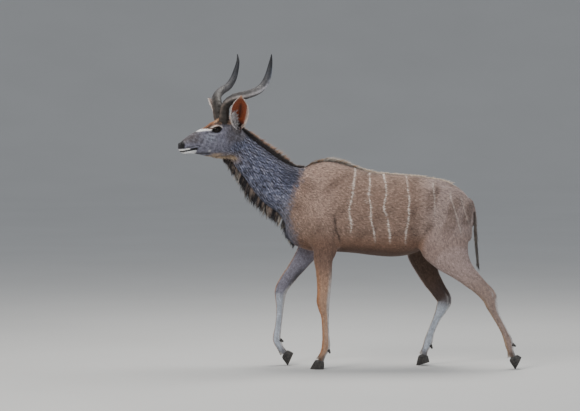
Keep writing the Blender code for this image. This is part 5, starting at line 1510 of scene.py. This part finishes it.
def lock_piece(name, locks, strands, thickness, seed):
    """Locks of fine closed strands. A lock: root, way, side, length, width, curl, two tones."""
    draw = np.random.default_rng(seed)
    each = max(4, int(strands * (1.0)))
    table = [np.repeat(np.array([tuple(lock[i]) if i not in (3, 4) else (lock[i],) * 3
                                 for lock in locks], float), each, axis=0) for i in range(8)]
    roots, ways, sides, long, wide, curls, low, high = table
    count = len(roots)
    flats = np.cross(ways, sides)
    flats /= np.linalg.norm(flats, axis=1)[:, None]
    across, deep = draw.uniform(-1, 1, (count, 1)), draw.uniform(-1, 1, (count, 1))
    lengths = long * draw.uniform(0.68, 1.10, (count, 1)) * (1 - 0.16 * across ** 2)
    bow, phase = draw.normal(0, 0.040, (count, 1)), draw.uniform(0, 6.28, (count, 1))
    stray = draw.normal(0, 0.050, (count, 3))
    path = []
    for t in STATIONS:
        spread = 1 - 0.62 * t ** 1.5
        wave = 0.030 * np.sin(5.5 * t + phase) * t
        path.append(roots + sides * across * wide * 0.5 * spread
                    + flats * deep * wide * 0.22 * spread
                    + ways * (lengths * t - 0.006 * (1 - t)) + curls * t ** 2
                    + (sides * (bow * t * t + wave) + stray * t * t) * lengths)
    path = np.stack(path, axis=1)
    radius = thickness * draw.uniform(0.75, 1.25, (count, 1))
    points, normals = [], []
    for station, taper in enumerate(STRAND_TAPER):
        for corner in range(3):
            turn = 2 * math.pi * corner / 3 + 0.5
            out = sides * math.cos(turn) + flats * math.sin(turn)
            points.append(path[:, station] + out * radius * taper)
            normals.append(out)
    points.append(path[:, 4])
    normals.append(ways)
    faces = []
    for ring in range(3):
        for corner in range(3):
            a, b = ring * 3 + corner, ring * 3 + (corner + 1) % 3
            faces += [(a, b, b + 3), (a, b + 3, a + 3)]
    faces += [(9 + corner, 9 + (corner + 1) % 3, 12) for corner in range(3)] + [(2, 1, 0)]
    share = np.append(np.repeat(STATIONS[:4], 3), 1.0)[None, :, None] ** 1.3
    bright = draw.uniform(0.70, 1.30, (count, 1, 1))
    tones = (low[:, None] * (1 - share) + high[:, None] * share) * bright
    row = np.repeat(np.arange(len(locks)), each)
    place = np.column_stack((0.02 + 0.96 * row / len(locks),
                             0.5 + 0.45 * across[:, 0]))[:, None, :]
    patch = np.column_stack((np.tile((-1, 1, 0), 5)[:13],
                             np.repeat((-1, -0.5, 0, 0.5, 1), 3)[:13]))
    patches = place + 0.0014 * patch[None]
    faces = np.array(faces)[None] + 13 * np.arange(count)[:, None, None]
    stack = np.stack(points, axis=1), np.stack(normals, axis=1)
    piece = hair_piece(name, stack[0].reshape(-1, 3), faces.reshape(-1, 3),
                       stack[1].reshape(-1, 3), tones.reshape(-1, 3), patches.reshape(-1, 2))
    piece.data.materials.append(long_hair)
    return piece


def grow(root, way, flat, *rest):
    """Add one lock to the list in hand, its broad side squared to the way it grows."""
    locks.append((root, way, (flat - way * flat.dot(way)).normalized(), *rest))


def back_line(x):
    """The height of the trunk's upper midline."""
    return float(np.interp(x, [row[0] for row in TRUNK], [row[1] for row in TRUNK]))


long_hair = coat_material("long_hair", 0.62, 0.15)
draw = np.random.default_rng(11)
black, slate_hair, pale_hair = seen(34, 30, 32), seen(70, 68, 76), seen(206, 196, 184)
tan_hair, rust_hair = seen(204, 158, 116), seen(158, 108, 74)

locks = []
for index in range(58):
    t = index / 57
    here, out, along = neck_edge(0.04 + 0.76 * t, True)
    tall = (0.026 + 0.026 * min(1.0, 1.6 * t)) * (1 - 0.66 * float(edge(t, 0.66, 0.90)))
    for row in (-1, 0, 1):
        way = out + along * (0.40 + 0.25 * draw.uniform(-1, 1)) + Vector((0, 0.20 * row, 0))
        root = here + Vector((0, 0.009 * row, 0)) + along * (0.007 * draw.uniform(-1, 1))
        tip = tan_hair if draw.uniform() < 0.65 else rust_hair
        tip = tip * draw.uniform(0.8, 1.25) * (1 - 0.7 * float(edge(t, 0.74, 0.86)))
        dark = row != 0 or draw.uniform() < 0.3
        tall_here = tall * draw.uniform(0.66, 0.86) if dark else tall * draw.uniform(1.0, 1.22)
        grow(root - out * 0.005, way.normalized(), along, tall_here, 0.024, along * 0.012,
             seen(40, 36, 39), seen(66, 56, 54) if dark else tip)
settle(lock_piece("nape_mane", locks, 14, 0.0011, 12), "neck_coat")

locks = []
for index in range(100):
    t = index / 99
    here, out, along = neck_edge(0.03 + 0.74 * t, False)
    for row in (-1, 0, 1):
        way = (out * 0.70 + Vector((0.06, 0.13 * row, -0.74))).normalized()
        way = (way + along * 0.12 * draw.uniform(-1, 1)).normalized()
        root = here + Vector((0, 0.010 * row, 0)) + along * (0.008 * draw.uniform(-1, 1))
        length = (0.040 + 0.044 * min(1.0, t / 0.55) - 0.034 * max(0.0, t - 0.55))
        length *= draw.uniform(0.72, 1.20)
        pick = draw.uniform()
        tone = black * 0.6 if pick < 0.70 else slate_hair * 0.7 if pick < 0.84 else pale_hair
        base = seen(150, 132, 120) if draw.uniform() < 0.45 else seen(44, 40, 44)
        grow(root - out * 0.006, way, along, length, 0.015, Vector((0.010, 0, -0.004)), base, tone)
for index in range(34):
    f = 0.215 - 0.0062 * index
    for row in (-1, 0, 1):
        root = head_point(f + 0.004 * draw.uniform(-1, 1), 0.013 * row,
                          1.306 if f > 0.17 else 1.299)
        way = Vector((0.55, 0.10 * row, -0.80)).normalized()
        length = (0.016 + 0.022 * (1 - f / 0.215)) * draw.uniform(0.75, 1.2)
        tone = seen(196, 172, 144) if draw.uniform() < 0.7 else seen(96, 84, 80)
        grow(root, way, Vector((1, 0, 0)), length, 0.014, Vector((0.006, 0, 0.002)),
             seen(150, 132, 116), tone)
settle(lock_piece("throat_fringe", locks, 8, 0.0011, 18), "neck_coat")

locks = []
for index in range(46):
    t = index / 45
    x = -0.330 + 0.395 * t
    for row in (-1, 0, 1):
        way = Vector((0.66 + 0.15 * draw.uniform(-1, 1), 0.20 * row, 0.70)).normalized()
        root = Vector((x + 0.006 * draw.uniform(-1, 1), 0.009 * row, back_line(x) - 0.009))
        length = (0.010 + 0.026 * math.sin(math.pi * (0.20 + 0.75 * t))) * draw.uniform(0.95, 1.35)
        tip = pale_hair if draw.uniform() < 0.35 + 0.5 * t else tan_hair * 0.8
        grow(root, way, Vector((1, 0, 0.02)), length, 0.022, Vector((0.012, 0, -0.003)),
             seen(54, 46, 45), tip * (0.45 + 0.55 * float(edge(t, 0.1, 0.5))))
settle(lock_piece("withers_crest", locks, 13, 0.0010, 24), "coat")

locks = []
for index in range(64):
    x = 0.010 + 0.600 * index / 63
    for row in (-0.5, 0.5):
        way = Vector((0.90, 0.16 * row, 0.42 + 0.12 * draw.uniform(-1, 1))).normalized()
        root = Vector((x + 0.005 * draw.uniform(-1, 1), 0.008 * row, back_line(x) - 0.008))
        grow(root, way, Vector((0, 1, 0.05 * row)), 0.030 * draw.uniform(0.8, 1.2), 0.014,
             Vector((0.004, 0, -0.004)), seen(206, 182, 158), seen(244, 234, 220))
settle(lock_piece("spine_hair", locks, 9, 0.0009, 40), "coat")

locks = []
for index in range(30):
    t = index / 29
    for row in (-1, 0, 1):
        way = Vector((-0.48 + 0.18 * t, 0.14 * row, -0.86)).normalized()
        root = Vector((-0.398 + 0.058 * t, 0.012 * row, 0.922 - 0.142 * t))
        tone = black
        if draw.uniform() >= 0.55:
            tone = slate_hair if draw.uniform() < 0.6 else pale_hair * 0.8
        grow(root, way, Vector((0.55, 0, -0.80)), (0.088 - 0.030 * t) * draw.uniform(0.70, 1.15),
             0.016, Vector((0.010, 0, 0)), black * 0.5 + slate_hair * 0.5, tone)
settle(lock_piece("breast_fringe", locks, 8, 0.0011, 32), "coat")

locks = []
for index in range(16):
    x, z, radius = row_at(TAIL, 0.36 + 0.62 * index / 15)
    for column in (-2, -1, 0, 1, 2):
        way = Vector((0.09 - 0.05 * abs(column), 0.11 * column, -1.0)).normalized()
        flat = Vector((0.4, 1 - 0.3 * abs(column), 0)).normalized()
        root = Vector((x + 0.003, column * radius * 0.42, z))
        low = seen(96, 76, 64) if index < 7 else seen(48, 40, 38)
        tip = black if abs(column) < 2 else seen(150, 140, 130)
        grow(root, way, flat, 0.105 * draw.uniform(0.75, 1.12) - 0.02 * index / 15, 0.014,
             Vector((0.002, -0.003 * column, 0)), low, tip)
settle(lock_piece("tail_brush", locks, 14, 0.0010, 6), "coat")

# Ear fringes, horn cuffs, lashes and whiskers
# Pale hairs edge the ears and fill their roots, short hair climbs each horn's base, black lashes
# stand out from the upper lids, and a few stiff whiskers grow from lips and chin.
for side, word in SIDES:
    root, axis, across, opening, length = ear_frame(side)
    ahead = 1 if across.dot(head_way(1, 0, 0)) > 0 else -1
    locks = []
    for index in range(52):
        t = 0.13 + 0.83 * index / 51
        for rim in (-1, 1):
            here = ear_place(side, t, 0.985 * rim)
            inwards = (ear_place(side, t, 0) - here).normalized()
            way = axis * 0.75 + opening * 0.30 + inwards * 0.30 * draw.uniform(-0.6, 1)
            way.normalize()
            grow(here - way * 0.001, way, axis, 0.013 * draw.uniform(0.7, 1.2), 0.007,
                 inwards * 0.002, seen(190, 176, 166), seen(236, 230, 224))
    for index in range(84):
        t = draw.uniform(-0.02, 0.42)
        column = ahead * draw.uniform(0.15 + 0.5 * max(t, 0.0), 0.92)
        here = ear_place(side, t, column)
        inwards = (ear_place(side, t, 0) - here).normalized()
        way = (axis * 0.85 + opening * 0.35 + inwards * 0.45).normalized()
        grow(here - way * 0.001, way, axis, 0.030 * draw.uniform(0.7, 1.2), 0.008,
             inwards * 0.004, seen(176, 168, 168), seen(230, 228, 228))
    for index in range(120):
        low = draw.uniform(0, 1) ** 1.4
        here = root + opening * 0.030 + across * draw.uniform(-0.026, 0.026) * (1 - 0.5 * low)
        here, outward = tree.find_nearest(here + axis * (0.012 - 0.044 * low))[:2]
        way = (axis * 0.95 + outward * (0.30 - 0.15 * low)).normalized()
        grow(here - outward * 0.001, way, across, (0.027 - 0.010 * low) * draw.uniform(0.7, 1.2),
             0.008, opening * -0.003, seen(96, 91, 99),
             seen(166, 160, 165) * draw.uniform(0.6, 1.1))
    settle(lock_piece("ear_fringe_" + word, locks, 7, 0.0005, 50 + side), "coat")

    locks = []
    rings = horn_rings(side, 36)[0]
    for corner in range(36):
        for low, high in zip(rings, rings[3:40]):
            spot, outward = tree.find_nearest(low[corner])[:2]
            if (low[corner] - spot).dot(outward) > 0.0005:
                break
        climb = (high[corner] - low[corner]).normalized()
        out = low[corner] - sum(low, Vector()) / 36
        out = (out - outward * out.dot(outward)).normalized()
        for step in (0.5, 3.5, 6.5, 9.5, 12.5):
            here, outward = tree.find_nearest(spot + out * 0.001 * step)[:2]
            way = climb * 0.75 + outward * 0.18 - out * 0.10 + head_way(-0.03 * step, 0, 0)
            way.normalize()
            grow(here - outward * 0.001, way, outward.cross(way), 0.013 * draw.uniform(0.8, 1.2),
                 0.007, out * 0.001, here, outward)
    roots, outwards = np.array([lock[6] for lock in locks]), np.array([lock[7] for lock in locks])
    tones = markings(survey(roots), outwards)
    locks = [lock[:6] + (tone * 0.75, tone * draw.uniform(0.9, 1.2))
             for lock, tone in zip(locks, tones)]
    settle(lock_piece("horn_cuff_" + word, locks, 7, 0.0005, 80 + side), "coat")

    locks = []
    for index in range(30):
        turn = math.radians(12 + 150 * index / 29)
        f, h = eye_opening(turn, 1.02)
        reach = max(lid_height(side, f, h, tree)[0], EYE_PLACE[1] + 0.012) + 0.0010
        way = head_way(0.25 * math.cos(turn) + 0.15, side * 0.85, 0.50).normalized()
        grow(head_point(f, side * reach, h), way, head_way(1, 0, 0),
             0.0105 * draw.uniform(0.8, 1.2), 0.0024, Vector((0, 0, 0.0022)),
             seen(16, 14, 15), seen(20, 17, 18))
    settle(lock_piece("lashes_" + word, locks, 4, 0.00028, 60 + side), "coat")

locks = []
for f, across, h, down in (
        (0.352, 0.034, 1.352, -0.2), (0.338, 0.035, 1.354, -0.3), (0.364, 0.030, 1.349, -0.2),
        (0.340, 0.027, 1.316, -0.7), (0.352, 0.016, 1.314, -0.8)):
    for side in (-1, 1):
        way = head_way(0.45, side * 0.65, down).normalized()
        grow(head_point(f, side * across, h), way, Vector((0, 0, 1)),
             0.021 * draw.uniform(0.7, 1.1), 0.008, Vector((0.004, 0, -0.004)),
             seen(70, 66, 68), seen(150, 146, 144))
settle(lock_piece("whiskers", locks, 4, 0.00018, 70), "coat")

# Floor, light and camera
# A plain pale floor that rises softly far behind, with soft light from above on the camera's
# left. The camera looks along +Y from three degrees above the level.
FLOOR_SIZE, FLAT_REACH = 68, 19
TARGET = Vector((-0.363, 0.052, 0.996))
CAMERA_DISTANCE, CAMERA_LENS, CAMERA_RISE = 18, 182, math.radians(3)
bpy.ops.object.select_all(action="DESELECT")
bpy.ops.mesh.primitive_grid_add(x_subdivisions=90, y_subdivisions=90, size=FLOOR_SIZE)
floor = bpy.context.object
floor.name = "floor"
for vertex in floor.data.vertices:
    far = max(0.0, vertex.co.xy.length - FLAT_REACH) / 13
    vertex.co.z = min(6.0, 5.0 * far * far)
bpy.ops.object.shade_smooth()
pale_floor, nodes, links, shader = new_material("pale_floor")
fill_sockets(shader, {"Roughness": 0.9})
place = add_node(nodes, "ShaderNodeTexCoord", (-700, 0))
cloud = add_node(nodes, "ShaderNodeTexNoise", (-500, 0), {"Scale": 0.8, "Detail": 3.0})
ramp = add_ramp(nodes, (-300, 0), (0, 0.50, 0.50, 0.49), (1, 0.56, 0.56, 0.55))
wire(links, (place, "Object", cloud, "Vector"), (cloud, "Fac", ramp, "Fac"),
     (ramp, "Color", shader, "Base Color"))
floor.data.materials.append(pale_floor)

world = bpy.data.worlds.new("pale_room")
bpy.context.scene.world = world
world.use_nodes = True
fill_sockets(world.node_tree.nodes["Background"],
             {"Color": (0.80, 0.84, 0.90, 1), "Strength": 0.55})
for name, place, size, power, tint in (
        ("key", (-3.2, -4.2, 4.6), 2.6, 260, (1.0, 0.96, 0.90)),
        ("above", (0.6, 1.2, 5.2), 3.0, 240, (1.0, 0.97, 0.92)),
        ("fill", (3.6, -4.0, 1.8), 3.0, 60, (0.88, 0.93, 1.0))):
    light = bpy.data.lights.new(name, "AREA")
    light.shape = "DISK"
    light.size = size
    light.energy = power
    light.color = tint
    lamp = bpy.data.objects.new(name, light)
    bpy.context.scene.collection.objects.link(lamp)
    lamp.location = place
    lamp.rotation_euler = (TARGET - Vector(place)).to_track_quat("-Z", "Y").to_euler()
camera = bpy.data.objects.new("camera", bpy.data.cameras.new("camera"))
bpy.context.scene.collection.objects.link(camera)
camera.location = TARGET + CAMERA_DISTANCE * Vector((0, -math.cos(CAMERA_RISE),
                                                     math.sin(CAMERA_RISE)))
camera.rotation_euler = (math.radians(90) - CAMERA_RISE, 0, 0)
camera.data.lens = CAMERA_LENS
camera.data.clip_end = 100
bpy.context.scene.camera = camera
